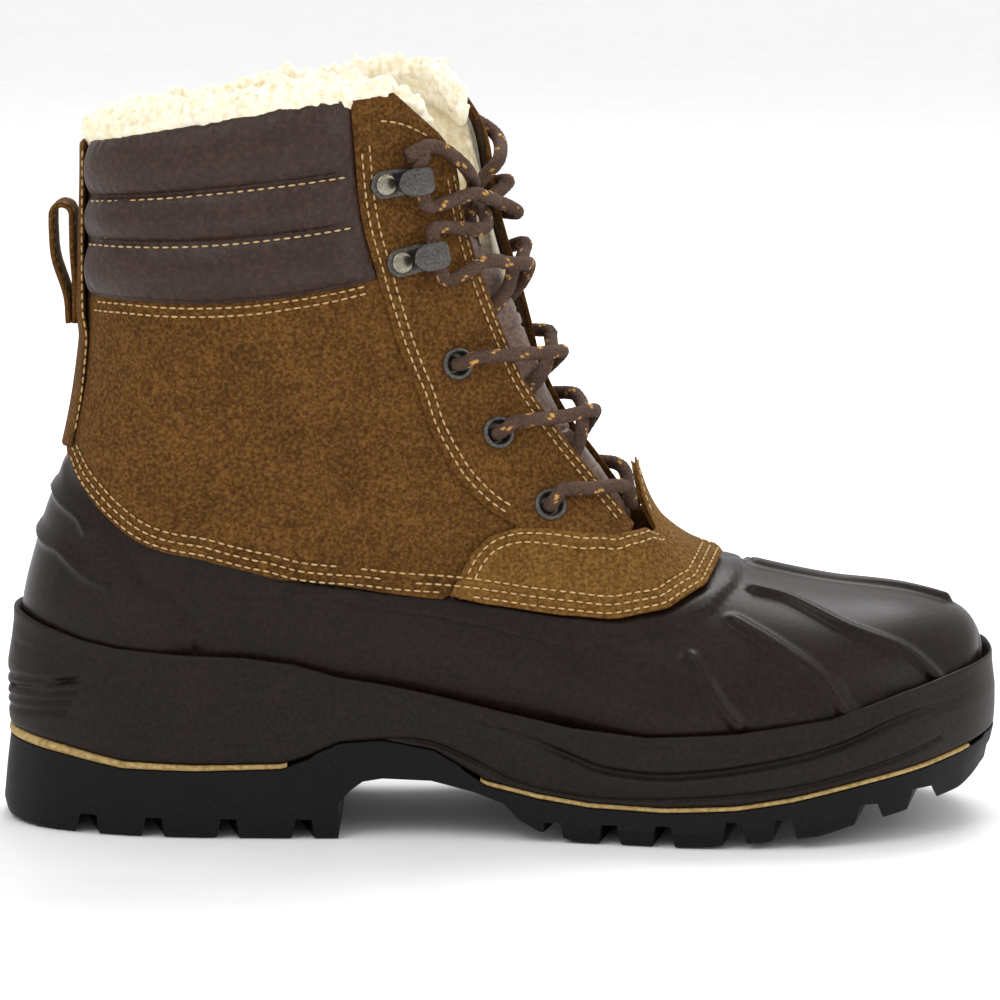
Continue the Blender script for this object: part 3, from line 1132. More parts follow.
@dataclass
class Upper:
    """The suede panels: quarters, vamp with its throat tab, facings and back strip, with their thread."""

    thread: Thread = field(default_factory=Thread)
    hole_radius: float = 3.9

    def quarter_grow(self, turn: np.ndarray, rows: np.ndarray) -> np.ndarray:
        """Return how far the quarter's face lies outside the body surface."""
        return np.full(np.broadcast(turn, rows).shape, QUARTER_OUT)

    def vamp_grow(self, turn: np.ndarray, rows: np.ndarray) -> np.ndarray:
        """Return how far the vamp's face lies outside the body surface."""
        turn = np.abs(turn)
        over = smoothstep(27, 34, turn) * (1 - smoothstep(0.25, 0.8, vamp_high(turn) - rows))
        return 2.5 + tab_lean(turn, rows) + 1.9 * over

    def edge_stitches(self, offset: float) -> dict[int, np.ndarray]:
        """Return the line at an offset above the shell's edge, on each side."""
        places = [[float(a), float(edge_row(a))] for a in
                  (0.5, 8, 15, 22, 31, 40, 48, 55, 62, 70, 78, 83, 87, 89, 90.5, 92, 95, 98, 102, 106, 113,
                   121, 131,
                   142, 157, 166)]
        return {side: seam(places, side, -offset) for side in (-1, 1)}

    def grooves(self, lines: Iterable[np.ndarray], grow: Callable) -> list[Ridge]:
        """Return the shallow channels that rows of stitches pull into a panel."""
        coarse = [line[::2].T for line in lines]
        return [Ridge(body_points(a, r, grow(a, r)), 0.75, -0.32) for a, r in coarse]

    def build_quarters(self) -> None:
        """Make the two quarter panels with three rows of stitches along the shell."""
        rows = np.concatenate([np.linspace(9.3, 11.5, 40), np.linspace(11.55, 14.4, 80),
                               np.linspace(14.44, 15.3, 14)])
        frames = []
        edge_lines = [self.edge_stitches(d) for d in SHELL_STITCHES]
        for side in (-1, 1):
            near = [line[side][np.abs(line[side][:, 0]) > 88.5] for line in edge_lines]
            top_rows = [seam([[a, r + float(Collar.shift(np.array(a), np.array(15.25)))]
                              for a in (68, 80, 95, 110, 125, 140, 158)], side) for r in (15.03, 15.15)]
            start = lambda r: facing_rear[side](r) - 5
            end = lambda r: np.minimum(shell_edge(r), 179.0)
            angles, row_grid = by_rows(side, rows, start, end, 150)
            climb = Collar.shift(angles, np.full(angles.shape, 15.25))
            row_grid = row_grid + climb * smoothstep(14.0, 15.2, row_grid)
            base = self.quarter_grow(angles, row_grid)
            plain = body_points(angles, row_grid, base)
            flow = ruffle(plain, 24.0, 0.5, 11.0 + side) + ruffle(plain, 9.0, 0.16, 2.0)
            points = shaped(angles, row_grid, base + flow * 0.6,
                            self.grooves(near + top_rows, self.quarter_grow), "e", 0.7, 1.6)
            piece = skin(f"quarter_panel_{SIDE_NAMES[side]}", points, SUEDE_WALL, np.array([-50.0, 0.0,
                                                                                            100.0]))
            dress(piece, SUEDE, replaces=[f"quarter_{SIDE_NAMES[side]}"])
            for line in near + top_rows:
                frames += stitch_row(line, QUARTER_OUT + THREAD_OUT, self.thread)
        sewn("quarter_stitches", frames, self.thread, THREAD)

    def build_vamp(self) -> None:
        """Make the vamp overlay and its throat tab, with its rows of stitches."""
        places = np.concatenate([np.linspace(-88.6, 88.6, 241), np.linspace(-34, 34, 81)])
        angles = spread_out(np.unique(places), 0.4)
        angle_grid, row_grid = by_angles(angles, edge_row, vamp_high, 74)
        base = self.vamp_grow(angle_grid, row_grid)
        plain = body_points(angle_grid, row_grid, base)
        flow = ruffle(plain, 20.0, 0.5, 5.0) + ruffle(plain, 8.0, 0.16, 6.0)
        lines, tab_lines = [], []
        for distance in SHELL_STITCHES:
            for side, line in self.edge_stitches(distance).items():
                turn = np.abs(line[:, 0])
                lines.append(line[(turn < 88.0) & (turn > (0.6 if distance < 2 else 0.2))])
        for side in (-1, 1):
            upper = [[a, float(vamp_high(np.array(a)))]
                     for a in (24, 28, 31, 38, 44, 49, 53, 57, 62, 66, 71, 77, 84)]
            lines += [seam(upper, side, d) for d in (2.0, 4.6)]
        tab = [[a, float(vamp_high(np.array(a)))] for a in (0.3, 5, 9, 12, 15, 17, 19, 20, 20.7)]
        for side in (-1, 1):
            tab_lines.append(seam(tab, side, 2.0))
        points = shaped(angle_grid, row_grid, base + flow * 0.5,
                        self.grooves(lines + tab_lines, self.vamp_grow), "bt", 0.8, 1.7)
        piece = skin("vamp_panel", points, VAMP_WALL, np.array([20.0, 0.0, 50.0]))
        dress(piece, PALE_SUEDE, replaces=["vamp_overlay"])
        frames = []
        for line in lines + tab_lines:
            frames += stitch_row(line, lambda a, r: self.vamp_grow(a, r) + THREAD_OUT, self.thread, 1.4)
        sewn("vamp_stitches", frames, self.thread, THREAD)

    def facing_back(self, side: int) -> Callable:
        """Return the rear edge of a facing as an angle on each row."""
        low = knots([[7.1, 31], [7.3, 38], [7.7, 49], [8.3, 57], [8.9, 62], [9.3, 66]])
        return lambda r: np.where(r < 9.3, low(r) + 1.6, facing_rear[side](r))

    def build_facings(self) -> None:
        """Make the two lace facings with their punched holes and double stitching."""
        frames = []
        rows = np.linspace(7.4, 17.8, 190)
        for side in (-1, 1):
            back = self.facing_back(side)
            front_knots = [[float(facing_front[side](r)), float(r)]
                           for r in (7.6, 8.2, 8.9, 9.6, 10.3, 11, 11.8, 12.5, 13.3, 14, 14.7, 15.4, 16.1,
                                     16.7)]
            back_knots = [[float(facing_rear[side](r)), float(r)]
                          for r in (9.5, 10, 10.7, 11.3, 12, 12.7, 13.3, 13.9, 14.6, 15.3, 16, 16.7, 17.3)]
            lines = [seam(front_knots, side, d) for d in (2.2, 4.8)]
            lines += [seam(back_knots, side, -d) for d in (1.8, 4.2)]
            a0, a1 = float(facing_front[side](17.2)) + 4, float(facing_rear[side](17.6)) - 4
            lines.append(seam([[a0, 17.15], [(a0 + a1) / 2, 17.4], [a1, 17.52]], side))
            angles, row_grid = by_rows(side, rows, facing_front[side], back, 56)
            base = np.full(angles.shape, FACING_OUT)
            plain = body_points(angles, row_grid, base)
            base = base + ruffle(plain, 18.0, 0.35, 9.0 + side)
            points = shaped(angles, row_grid, base, self.grooves(lines, lambda a, r: FACING_OUT), "sebt",
                            0.8, 1.7)
            piece = skin(f"facing_panel_{SIDE_NAMES[side]}", points, SUEDE_WALL, np.array([-30.0, 0.0,
                                                                                           140.0]))
            for place in Hardware.eyelet_places:
                self.punch(piece, surface_frame(place, side), self.hole_radius)
            for place in Hardware.hook_places:
                self.punch(piece, surface_frame(place, side), 1.7)
            smooth_below(piece, 50)
            dress(piece, SUEDE, replaces=[f"facing_{SIDE_NAMES[side]}"])
            for line in lines:
                frames += stitch_row(line, FACING_OUT + THREAD_OUT, self.thread, 1.5)
        sewn("facing_stitches", frames, self.thread, THREAD)

    @staticmethod
    def punch(piece: bpy.types.Object, frame_matrix: np.ndarray, radius: float) -> None:
        """Punch a round hole through a panel."""
        turn = np.linspace(0, 2 * math.pi, 32, endpoint=False)
        rings = np.array([np.stack([radius * np.cos(turn), radius * np.sin(turn), np.full(32, h)], 1)
                          for h in (-9.0, 9.0)])
        cutter = closed_tube("punch", rings @ frame_matrix[:3, :3].T + frame_matrix[:3, 3])
        apply_modifier(piece, "BOOLEAN", object=cutter, operation="DIFFERENCE", solver="EXACT")
        bpy.data.objects.remove(cutter)

    def build_back_strip(self) -> None:
        """Make the strip that covers the seam up the back."""
        rows = np.linspace(13.95, 17.86, 110)
        halves, frames = [], []
        for side in (-1, 1):
            angles, row_grid = by_rows(side, rows, lambda r: np.full_like(r, STRIP_ANGLE),
                                       lambda r: np.full_like(r, 180.0), 26)
            line = seam([[STRIP_ANGLE, r] for r in (14.1, 14.8, 15.5, 16.3, 17, 17.8)], side, -1.8)
            grow = lambda a, r: FACING_OUT + STRIP_STEP * smoothstep(15.1, 15.5, r)
            points = shaped(angles, row_grid, grow(angles, row_grid), self.grooves([line], grow), "sbt", 0.8,
                            1.6)
            halves.append(skin(f"strip_{side}", points, 0, np.array([-60.0, 0.0, 180.0])))
            frames += stitch_row(line, lambda a, r: grow(a, r) + THREAD_OUT, self.thread, 1.5)
        piece = merged("back_seam_strip", halves)
        apply_modifier(piece, "SOLIDIFY", thickness=SUEDE_WALL * MM, offset=-1.0)
        dress(piece, SUEDE, replaces=["back_strip"])
        sewn("strip_stitches", frames, self.thread, THREAD)

    def build(self) -> None:
        """Make every suede panel."""
        self.build_quarters()
        self.build_vamp()
        self.build_facings()
        self.build_back_strip()


# ---------------------------------------------------------------- padded collar
@dataclass
class Collar:
    """The three padded rolls round the top of the shaft, and the pull loop behind them."""

    seams: Sequence[float] = (15.25, 16.05, 16.85, 17.85)
    swell: float = 3.6
    thread: Thread = field(default_factory=lambda: Thread(pitch=3.1, length=2.3, thickness=0.6))

    @classmethod
    def shift(cls, turn: np.ndarray, rows: np.ndarray) -> np.ndarray:
        """Return how far the seams lie above their rows: they climb towards the back of the boot."""
        back = smoothstep(66, 160, np.abs(turn))
        moves = np.stack([-0.2 + 0.65 * back, 0.37 * back, 0.15 * back, 0 * back])
        result = np.zeros(np.broadcast(turn, rows).shape)
        for index in range(3):
            low, high = cls.seams[index], cls.seams[index + 1]
            share = np.clip((rows - low) / (high - low), 0, 1)
            inside = (rows >= low) if index else (rows > -1)
            result = np.where(inside, moves[index] * (1 - share) + moves[index + 1] * share, result)
        return result

    def rise(self, turn: np.ndarray, rows: np.ndarray) -> np.ndarray:
        """Return how far the rolls swell at each place."""
        total = np.zeros(np.broadcast(turn, rows).shape)
        for low, high in zip(self.seams[:-1], self.seams[1:]):
            share = np.clip((rows - low) / (high - low), 0, 1)
            total = np.maximum(total, np.sin(np.pi * share) ** 0.55)
        turn = np.abs(turn)
        ends = smoothstep(63, 75, turn) * (1 - smoothstep(STRIP_ANGLE - 8, STRIP_ANGLE - 0.5, turn))
        return self.swell * total * ends

    def build_side(self, side: int) -> list[np.ndarray]:
        """Make one side's leather and return the frames of its stitches."""
        rows = np.concatenate([np.linspace(15.22, 17.85, 104), [17.87, 17.885, 17.895, 17.9, 17.9]])
        turned_in = np.concatenate([np.zeros(104), [-0.5, -1.3, -2.4, -3.6, -4.8]])
        front = lambda r: facing_rear[side](np.minimum(r, 17.85)) - 1.5
        angles, row_grid = by_rows(side, rows, front, lambda r: np.full_like(r, STRIP_ANGLE + 1.5), 230)
        lifted = row_grid + self.shift(angles, row_grid)
        plain = body_points(angles, lifted, 2.6)
        share = np.min([np.abs(row_grid - s) for s in self.seams], 0)
        pucker = ruffle(np.stack([angles * 1.25, row_grid * 4.0, 0 * angles], 2), 3.4, 1.0, 4.0 + side)
        crease = ruffle(plain, 13.0, 1.0, 8.0 + side)
        rise = self.rise(angles, row_grid)
        gather = 0.55 * pucker * np.exp(-(share / 0.16) ** 2) * (rise > 0.2)
        grow = 2.55 + rise + gather + 0.7 * crease * rise / self.swell
        tuck = smoothstep(0, 3.5, np.abs(angles) - np.abs(angles[:1]))
        grow = grow - 0.75 * (1 - tuck) + turned_in[None, :]
        points = shaped(angles, lifted, grow, [], "s", 0.7, 1.8)
        piece = skin(f"collar_rolls_{SIDE_NAMES[side]}", points, 1.1, np.array([-80.0, 0.0, 190.0]))
        dress(piece, COLLAR_LEATHER, replaces=[f"collar_{SIDE_NAMES[side]}"])
        frames = []
        for row in self.seams[1:3]:
            line = seam([[a, row - 0.055 + float(self.shift(np.array(a), np.array(row)))]
                         for a in (68, 80, 92, 105, 118, 130, 145, 157)], side)
            frames += stitch_row(line, lambda a, r: 2.72 + self.rise(a, np.full_like(r, row - 0.055)) * 0.98,
                                 self.thread, 1.0)
        return frames

    def build_loop(self) -> None:
        """Make the stitched suede loop at the back of the collar."""
        foot_x, foot_z, crown_z, reach, strap = -131.4, 154.76, 188.4, 4.0, 1.8
        crown_x = foot_x - reach + strap * 0.4
        inner_x = crown_x + reach - strap / 2
        outer_x = crown_x - reach + strap / 2
        mid = reach - strap / 2
        up = [[foot_x + 0.3, foot_z + 0.2], [foot_x + 0.5, foot_z + 12], [(foot_x + inner_x) / 2,
                                                                          foot_z + 22],
              [inner_x, crown_z - 4]]
        arc = [[crown_x + mid * math.cos(t), crown_z + mid * math.sin(t)] for t in np.linspace(0, math.pi,
                                                                                               14)]
        down = [[outer_x, crown_z - 5], [outer_x + 0.7, foot_z + 20], [foot_x - 2.3, foot_z + 9],
                [foot_x - 1.6, foot_z + 0.2]]
        line = flowing(up + arc + down, 0.7)
        across = np.linspace(-9, 9, 25)
        tangent = np.gradient(line, axis=0)
        normal = np.stack([tangent[:, 1], -tangent[:, 0]], 1) / np.linalg.norm(tangent, axis=1)[:, None]
        edge = np.clip((9 - np.abs(across)) / 1.3, 0, 1)
        crown = strap / 2 * (0.45 + 0.55 * np.sqrt(1 - (1 - edge) ** 2))
        crown = crown - 0.22 * np.exp(-((np.abs(across) - 6.6) / 0.5) ** 2)
        rings = []
        for p, n in zip(line, normal):
            face = [[p[0] + n[0] * c, y, p[1] + n[1] * c] for y, c in zip(across, crown)]
            rear = [[p[0] - n[0] * c, y, p[1] - n[1] * c] for y, c in zip(across[::-1], crown[::-1])]
            rings.append(face + rear)
        piece = closed_tube("heel_pull_loop", np.array(rings))
        dress(piece, SUEDE, body="loop_body", replaces=["pull_loop"])
        frames = []
        walked = walked_along(line)
        for y in (-6.6, 6.6):
            for place in np.arange(3, walked[-1] - 3, self.thread.pitch):
                k = int(np.searchsorted(walked, place))
                ahead = np.array([tangent[k, 0], 0, tangent[k, 1]]) / np.linalg.norm(tangent[k])
                for way in (1, -1):
                    out = way * np.array([normal[k, 0], 0, normal[k, 1]])
                    at = np.array([line[k, 0], y, line[k, 1]]) + out * (strap / 2 - 0.2)
                    frames.append(placed(ahead, np.cross(out, ahead), out, at))
        sewn("loop_stitches", frames, self.thread, THREAD, body="loop_body")

    def build(self) -> None:
        """Make the rolls of both sides, their stitches and the loop."""
        frames = self.build_side(-1) + self.build_side(1)
        sewn("collar_stitches", frames, self.thread, COLLAR_THREAD)
        self.build_loop()


# ---------------------------------------------------------------- tongue
@dataclass
class Tongue:
    """The padded leather tongue and its fleece."""

    top: float = 16.2
    wall: float = 3.6

    def grow(self, angles: np.ndarray, rows: np.ndarray) -> np.ndarray:
        """Return how far the tongue's face lies outside the body surface."""
        turn = np.abs(angles)
        front = np.where(angles < 0, facing_front[-1](rows), facing_front[1](rows))
        lean = 5.5 * smoothstep(13.6, self.top, rows)
        under = -5.6 + (-9.7 + 5.6) * smoothstep(7.5, 8.8, rows)
        share = np.clip((turn - 4) / (front - 4), 0, 1)
        share = share * share * (3 - 2 * share)
        return (-3.8 - lean) * (1 - share) + (under - lean * 0.5) * share

    def edge(self, side: int) -> Callable:
        """Return the tongue's side edge as an angle on each row."""
        return lambda r: (facing_front[side](r) - 4 + 14 * smoothstep(8.6, 9.8, r)
                          - 12 * smoothstep(15.3, self.top, r))

    def build(self) -> None:
        """Make the tongue leather and the fleece behind it."""
        rows = np.linspace(7.4, self.top, 230)
        share = np.linspace(-1, 1, 101)[:, None]
        width = np.where(share < 0, self.edge(-1)(rows)[None, :], self.edge(1)(rows)[None, :])
        angles = share * width
        row_grid = np.broadcast_to(rows[None, :], angles.shape)
        base = self.grow(angles, row_grid)
        plain = body_points(angles, row_grid, base)
        fold = ruffle(plain * np.array([0.45, 0.45, 1.3]), 7.0, 1.0, 1.7)
        soft = ruffle(plain, 22.0, 1.0, 6.1)
        wander = ruffle(plain * np.array([0.5, 0.35, 1.2]), 9.0, 1.0, 12.0)
        crease = -0.9 * np.exp(-(np.abs(wander) / 0.06) ** 2)
        middle = 1 - smoothstep(0.6, 1.0, np.abs(share))
        lift = (0.9 * fold + 1.1 * soft + 0.8 * crease) * middle - 0.7
        points = shaped(angles, row_grid, base + lift, [], "setb", 1.5, 3.5)
        piece = skin("tongue_leather", points, self.wall - 1.0, np.array([-20.0, 0.0, 120.0]))
        dress(piece, TONGUE_LEATHER, body="tongue_body", replaces=["tongue"])
        coarse = slice(None, None, 2)
        inner = body_points(angles[:, coarse], row_grid[:, coarse], (base - self.wall - 0.4)[:, coarse]
                            - 0.4 * np.abs(ruffle(plain[:, coarse], 4.0, 1.0, 3.0)))
        lining = skin("tongue_fleece", inner, 2.0, np.array([-20.0, 0.0, 120.0]))
        dress(lining, FLEECE, body="tongue_body", replaces=["tongue_lining"])


# ---------------------------------------------------------------- lining and inner layers
@dataclass
class Lining:
    """The fleece inside the boot, with its rim above the collar, and the layers behind it."""

    rim: float = 18.0

    def outer(self, angles: np.ndarray, rows: np.ndarray) -> np.ndarray:
        """Return how far the fleece's outer face lies outside the body surface."""
        turn = np.abs(angles)
        below = 1 - smoothstep(0, 1.6, rows - 13.8)
        cover = -0.2 * (1 - below) - 3.6 * below
        behind = cover - 2.8
        share = (1 - smoothstep(76, 92, turn)) * smoothstep(6.8, 8.6, rows)
        return behind * (1 - share) - 0.2 * share

    def thickness(self, angles: np.ndarray, rows: np.ndarray) -> np.ndarray:
        """Return the fleece's thickness at each place."""
        share = (1 - smoothstep(76, 92, np.abs(angles))) * smoothstep(6.8, 8.6, rows)
        return 3.0 * (1 - share) + 2.2 * share

    def build_rim_side(self, side: int) -> bpy.types.Object:
        """Make one side of the fleece from the instep to its curly rim."""
        rows = np.concatenate([np.linspace(6.8, 13.8, 60), np.linspace(13.9, self.rim, 110)])
        start = lambda r: facing_front[side](np.clip(r, 7.2, 17.8)) + 1.0
        angles, row_grid = by_rows(side, rows, start, lambda r: np.full_like(r, 180.0), 170)
        outer = self.outer(angles, row_grid)
        inner = outer - self.thickness(angles, row_grid)
        plain = body_points(angles, row_grid, inner)
        curls = np.abs(ruffle(plain, 5.0, 1.0, 3.0)) + 0.5 * np.abs(ruffle(plain, 2.2, 1.0, 8.0))
        high = smoothstep(17.3, 17.9, row_grid)
        out_face = body_points(angles, row_grid, outer + high * (3.2 + 2.2 * curls) - 0.1)
        in_face = body_points(angles, row_grid, inner + 0.8 - 1.8 * curls)
        fluff = self.top_rim(side, angles[:, -1], outer[:, -1] + 3.2, inner[:, -1])
        grid = np.concatenate([out_face, fluff, in_face[:, ::-1]], 1)
        return closed_tube(f"fleece_{side}", grid)

    def top_rim(self, side: int, angles: np.ndarray, outer: np.ndarray, inner: np.ndarray) -> np.ndarray:
        """Return the rounded, curly top of the fleece between its two faces."""
        lines = []
        for t in np.linspace(0, math.pi, 13)[1:-1]:
            grow = (outer + inner) / 2 + (outer - inner) / 2 * math.cos(t)
            base = body_points(angles, np.full_like(angles, self.rim), grow)
            puff = ruffle(base, 6.0, 1.0, 21.0) + 0.6 * ruffle(base, 2.4, 1.0, 4.0)
            up = math.sin(t) ** 0.6 * (2.6 + 2.6 * puff)
            front = smoothstep(60, 80, np.abs(angles))
            base[:, 2] += up * (0.4 + 0.6 * front)
            lines.append(base)
        return np.stack(lines, 1)

    def build_fleece(self) -> None:
        """Make the whole fleece sock as one piece, from two sides and the foot."""
        sides = [self.build_rim_side(side) for side in (-1, 1)]
        rows = np.linspace(0, 6.8, 40)
        angles = np.linspace(-180, 180, 145)
        foot_angles, foot_rows = np.meshgrid(angles, rows, indexing="ij")
        outer = self.outer(foot_angles, foot_rows)
        faces = [body_points(foot_angles, foot_rows, outer - 0.1),
                 body_points(foot_angles, foot_rows, outer - 3.0 + 0.3)[:, ::-1]]
        sides.append(closed_tube("fleece_foot", np.concatenate(faces, 1)))
        piece = join_as("fleece_sock", sides)
        dress(piece, FLEECE, replaces=["lining"])

    def build_cuff(self) -> None:
        """Make the thick, curly fleece that stands above the collar all the way round."""
        angles = np.concatenate([-np.linspace(33, 180, 250), np.linspace(180, 21, 260)[1:]])
        turn = np.abs(angles)
        left = knots([[29, 16.9], [34, 17.25], [42, 17.5], [52, 17.68], [60, 17.78], [70, 17.86], [180,
                                                                                                   17.86]])
        right = knots([[17, 16.9], [21, 17.25], [30, 17.5], [42, 17.66], [52, 17.78], [66, 17.86], [180,
                                                                                                    17.86]])
        top = np.where(angles < 0, left(turn), right(turn))
        back = smoothstep(58, 84, turn)
        ends = np.concatenate([np.linspace(0, 1, 16), np.ones(len(angles) - 32), np.linspace(1, 0, 16)])
        size = 0.25 + 0.75 * np.sqrt(np.clip(1 - (1 - ends) ** 2, 0, 1))
        around = np.linspace(0, 2 * math.pi, 52, endpoint=False)
        middle = -3.9 + 1.9 * back
        rings = []
        for a in around:
            grow = middle + (3.3 + 1.6 * back) * size * math.cos(a)
            ring = body_points(angles, top, grow)
            ring[:, 2] += 0.8 + (6.4 + 0.6 * back) * size * math.sin(a)
            rings.append(ring)
        grid = np.stack(rings, 1)
        centre = grid.mean(1, keepdims=True)
        out = grid - centre
        out /= np.linalg.norm(out, axis=2)[:, :, None]
        curl = (ruffle(grid, 7.0, 2.4, 21.0) + np.abs(ruffle(grid, 3.6, 3.2, 4.0))
                + np.abs(ruffle(grid, 1.9, 1.5, 9.0)) - 0.8)
        upward = np.clip(out[:, :, 2] + 0.55, 0.12, 1.0)
        piece = closed_tube("fleece_cuff", grid + out * (curl * upward)[:, :, None])
        dress(piece, FLEECE)

    def build_layer(self, name: str, node: str, finish: Finish, wall: float, grow: Grow,
                    pieces: Sequence[tuple[np.ndarray, Callable, Callable]]) -> None:
        """Make one hidden layer from patches that meet."""
        parts = []
        for rows, start, end in pieces:
            for side in (-1, 1):
                angles, row_grid = by_rows(side, rows, start, end, 50)
                if name.startswith("collar"):
                    row_grid = row_grid + Collar.shift(angles, row_grid)
                inside = np.array([-50.0, 0.0, 90.0] if rows[0] > 8 else [60.0, 0.0, 50.0])
                points = body_points(angles, row_grid, grow(angles, row_grid))
                parts.append(skin(f"{name}_part", points, wall, inside))
        piece = join_as(name, parts)
        dress(piece, finish, replaces=[node])

    def build(self) -> None:
        """Make the fleece, the footbed, the insulation and the foam in the collar."""
        self.build_fleece()
        self.build_cuff()
        flat = lambda value: (lambda r: np.full_like(r, value))
        shift = lambda a, r: self.outer(a, r) - 3.2
        self.build_layer("fleece_footbed", "footbed", FLEECE, 3.8, shift,
                         [(np.linspace(3.2, 10.3, 60), flat(146.0), flat(180.0))])
        cover = lambda a, r: self.outer(a, r) + 2.6
        self.build_layer("insulation_layer", "insulation", FOAM, 2.4, cover,
                         [(np.linspace(0, 6.8, 40), flat(0.0), flat(180.0)),
                          (np.linspace(6.8, 17.8, 70), flat(92.0), flat(180.0))])
        for index, name in enumerate(("lower", "middle", "upper")):
            low, high = Collar.seams[index] + 0.05, Collar.seams[index + 1] - 0.05
            start = lambda r: np.maximum(facing_rear[-1](r), facing_rear[1](r)) + 8.0
            fill = lambda a, r: 1.0 + Collar().rise(a, r) * 0.8
            self.build_layer(f"collar_fill_{name}", f"collar_foam_{name}", FOAM, 1.0, fill,
                             [(np.linspace(low, high, 16), start, flat(180.0))])


# ---------------------------------------------------------------- eyelets, hooks and rivets
def surface_frame(place: Sequence[float], side: int) -> np.ndarray:
    """Return the frame at a place of the surface: x forward round the section, z outwards."""
    turn, row = place
    small = math.degrees(0.02)
    at = body_points(np.array([side * turn]), np.array([row]))[0]
    forward = (body_points(np.array([side * (turn - small)]), np.array([row]))[0]
               - body_points(np.array([side * (turn + small)]), np.array([row]))[0])
    forward /= np.linalg.norm(forward)
    upward = (body_points(np.array([side * turn]), np.array([row + 0.05]))[0]
              - body_points(np.array([side * turn]), np.array([row - 0.05]))[0])
    out = np.cross(forward, upward) * -side
    out /= np.linalg.norm(out)
    return placed(forward, np.cross(out, forward), out, at)


class Fitting(Enum):
    """The kinds of metal fitting on a facing."""

    EYELET = "eyelet"
    HOOK = "hook"
    RIVET = "hook_rivet"


@dataclass
class Hardware:
    """The eyelets, the lace hooks and the rivets that hold them."""

    eyelet_places = ((54, 9.1), (45, 11.1), (49, 13.1))
    hook_places = ((57, 15.2), (57, 16.6))
    face: float = 4.1
    inside: float = -3.15

    def turned(self, name: str, profile: Sequence[Sequence[float]], place: np.ndarray) -> bpy.types.Object:
        """Turn a closed profile of radius and height round the frame's axis."""
        turn = np.linspace(0, 2 * math.pi, 41)
        loop = np.array(list(profile) + [profile[0]], float)
        grid = np.stack([loop[None, :, 0] * np.cos(turn)[:, None], loop[None, :, 0] * np.sin(turn)[:, None],
                         np.broadcast_to(loop[None, :, 1], (41, len(loop)))], 2)
        piece = skin(name, grid @ place[:3, :3].T + place[:3, 3])
        face_outwards(piece)
        smooth_below(piece, 50)
        return piece

    def eyelet(self, name: str, place: np.ndarray) -> bpy.types.Object:
        """Make one eyelet with a rolled flange."""
        face, inside = self.face, self.inside
        profile = [[3.1, inside], [3.5, inside - 0.8], [4.6, inside - 0.8], [4.7, inside], [3.6, inside],
                   [3.6, face], [4.85, face], [5.0, face + 0.2], [4.95, face + 0.45], [4.6, face + 0.72],
                   [4.1, face + 0.8], [3.6, face + 0.66], [3.25, face + 0.25], [3.1, face - 0.4]]
        return self.turned(name, profile, place)

    def rivet(self, name: str, place: np.ndarray) -> bpy.types.Object:
        """Make one rivet with a domed head."""
        base, low = self.face + 1.05, self.inside
        profile = [[0.001, low - 0.7], [2.6, low - 0.7], [2.6, low - 0.1], [1.45, low - 0.1], [1.45, base],
                   [3.2, base], [3.4, base + 0.18], [3.3, base + 0.5], [2.9, base + 0.78], [2.2, base + 1.0],
                   [1.2, base + 1.13], [0.001, base + 1.18]]
        return self.turned(name, profile, place)

    def hook(self, name: str, place: np.ndarray) -> bpy.types.Object:
        """Make one hook: a rounded foot that curls over the lace into a broad, domed head."""
        base, radius, centre = self.face + 0.5, 3.6, 9.9
        line = [[-5.0, base], [-3, base], [0, base], [4, base], [8, base]]
        line += [[centre + radius * math.sin(t), base + radius - radius * math.cos(t)]
                 for t in np.linspace(0.15, math.pi - 0.15, 12)]
        line += [[8, base + 2 * radius], [5, base + 2 * radius], [2.6, base + 2 * radius - 0.1],
                 [1.6, base + 2 * radius - 0.35]]
        path = flowing(line, 0.45)
        tangent = np.gradient(path, axis=0)
        normal = np.stack([-tangent[:, 1], tangent[:, 0]], 1) / np.linalg.norm(tangent, axis=1)[:, None]
        walked = walked_along(path)
        total = walked[-1]
        foot = np.sqrt(np.clip(1 - (1 - np.clip(walked / 4.2, 0, 1)) ** 2, 0, 1))
        head = np.sqrt(np.clip(1 - (1 - np.clip((total - walked) / 4.6, 0, 1)) ** 2, 0, 1))
        neck = 1 - 0.3 * np.exp(-((walked - 19.5) / 4.5) ** 2)
        half = np.maximum(4.2 * foot * head * neck, 0.35)
        across = np.linspace(-1, 1, 13)
        dome = 0.5 * smoothstep(total - 9, total - 4, walked)
        rings = []
        for p, n, h, d in zip(path, normal, half, dome):
            sag = -d * (across ** 2)
            thick = 0.5 * np.sqrt(np.clip(1 - np.clip((np.abs(across) - 0.82) / 0.18, 0, 1) ** 2, 0.05, 1))
            outer = [[p[0] - n[0] * (t + s), y, p[1] - n[1] * (t + s)]
                     for y, t, s in zip(across * h, thick, sag)]
            inner = [[p[0] + n[0] * (t - s), y, p[1] + n[1] * (t - s)]
                     for y, t, s in zip((across * h)[::-1], thick[::-1], sag[::-1])]
            rings.append(outer + inner)
        local = np.array(rings)
        piece = closed_tube(name, local @ place[:3, :3].T + place[:3, 3])
        smooth_below(piece, 50)
        return piece

    def build(self) -> None:
        """Make every fitting on both facings."""
        kinds = ((Fitting.EYELET, self.eyelet, self.eyelet_places, GUNMETAL),
                 (Fitting.HOOK, self.hook, self.hook_places, GUNMETAL),
                 (Fitting.RIVET, self.rivet, self.hook_places, NICKEL))
        for side, side_name in SIDE_NAMES.items():
            for kind, make, places, finish in kinds:
                for index, place in enumerate(places, 1):
                    piece = make(f"{kind.value}_metal_{side_name}_{index}", surface_frame(place, side))
                    node = f"{kind.value}_{side_name}_{index}"
                    dress(piece, finish, replaces=[node])


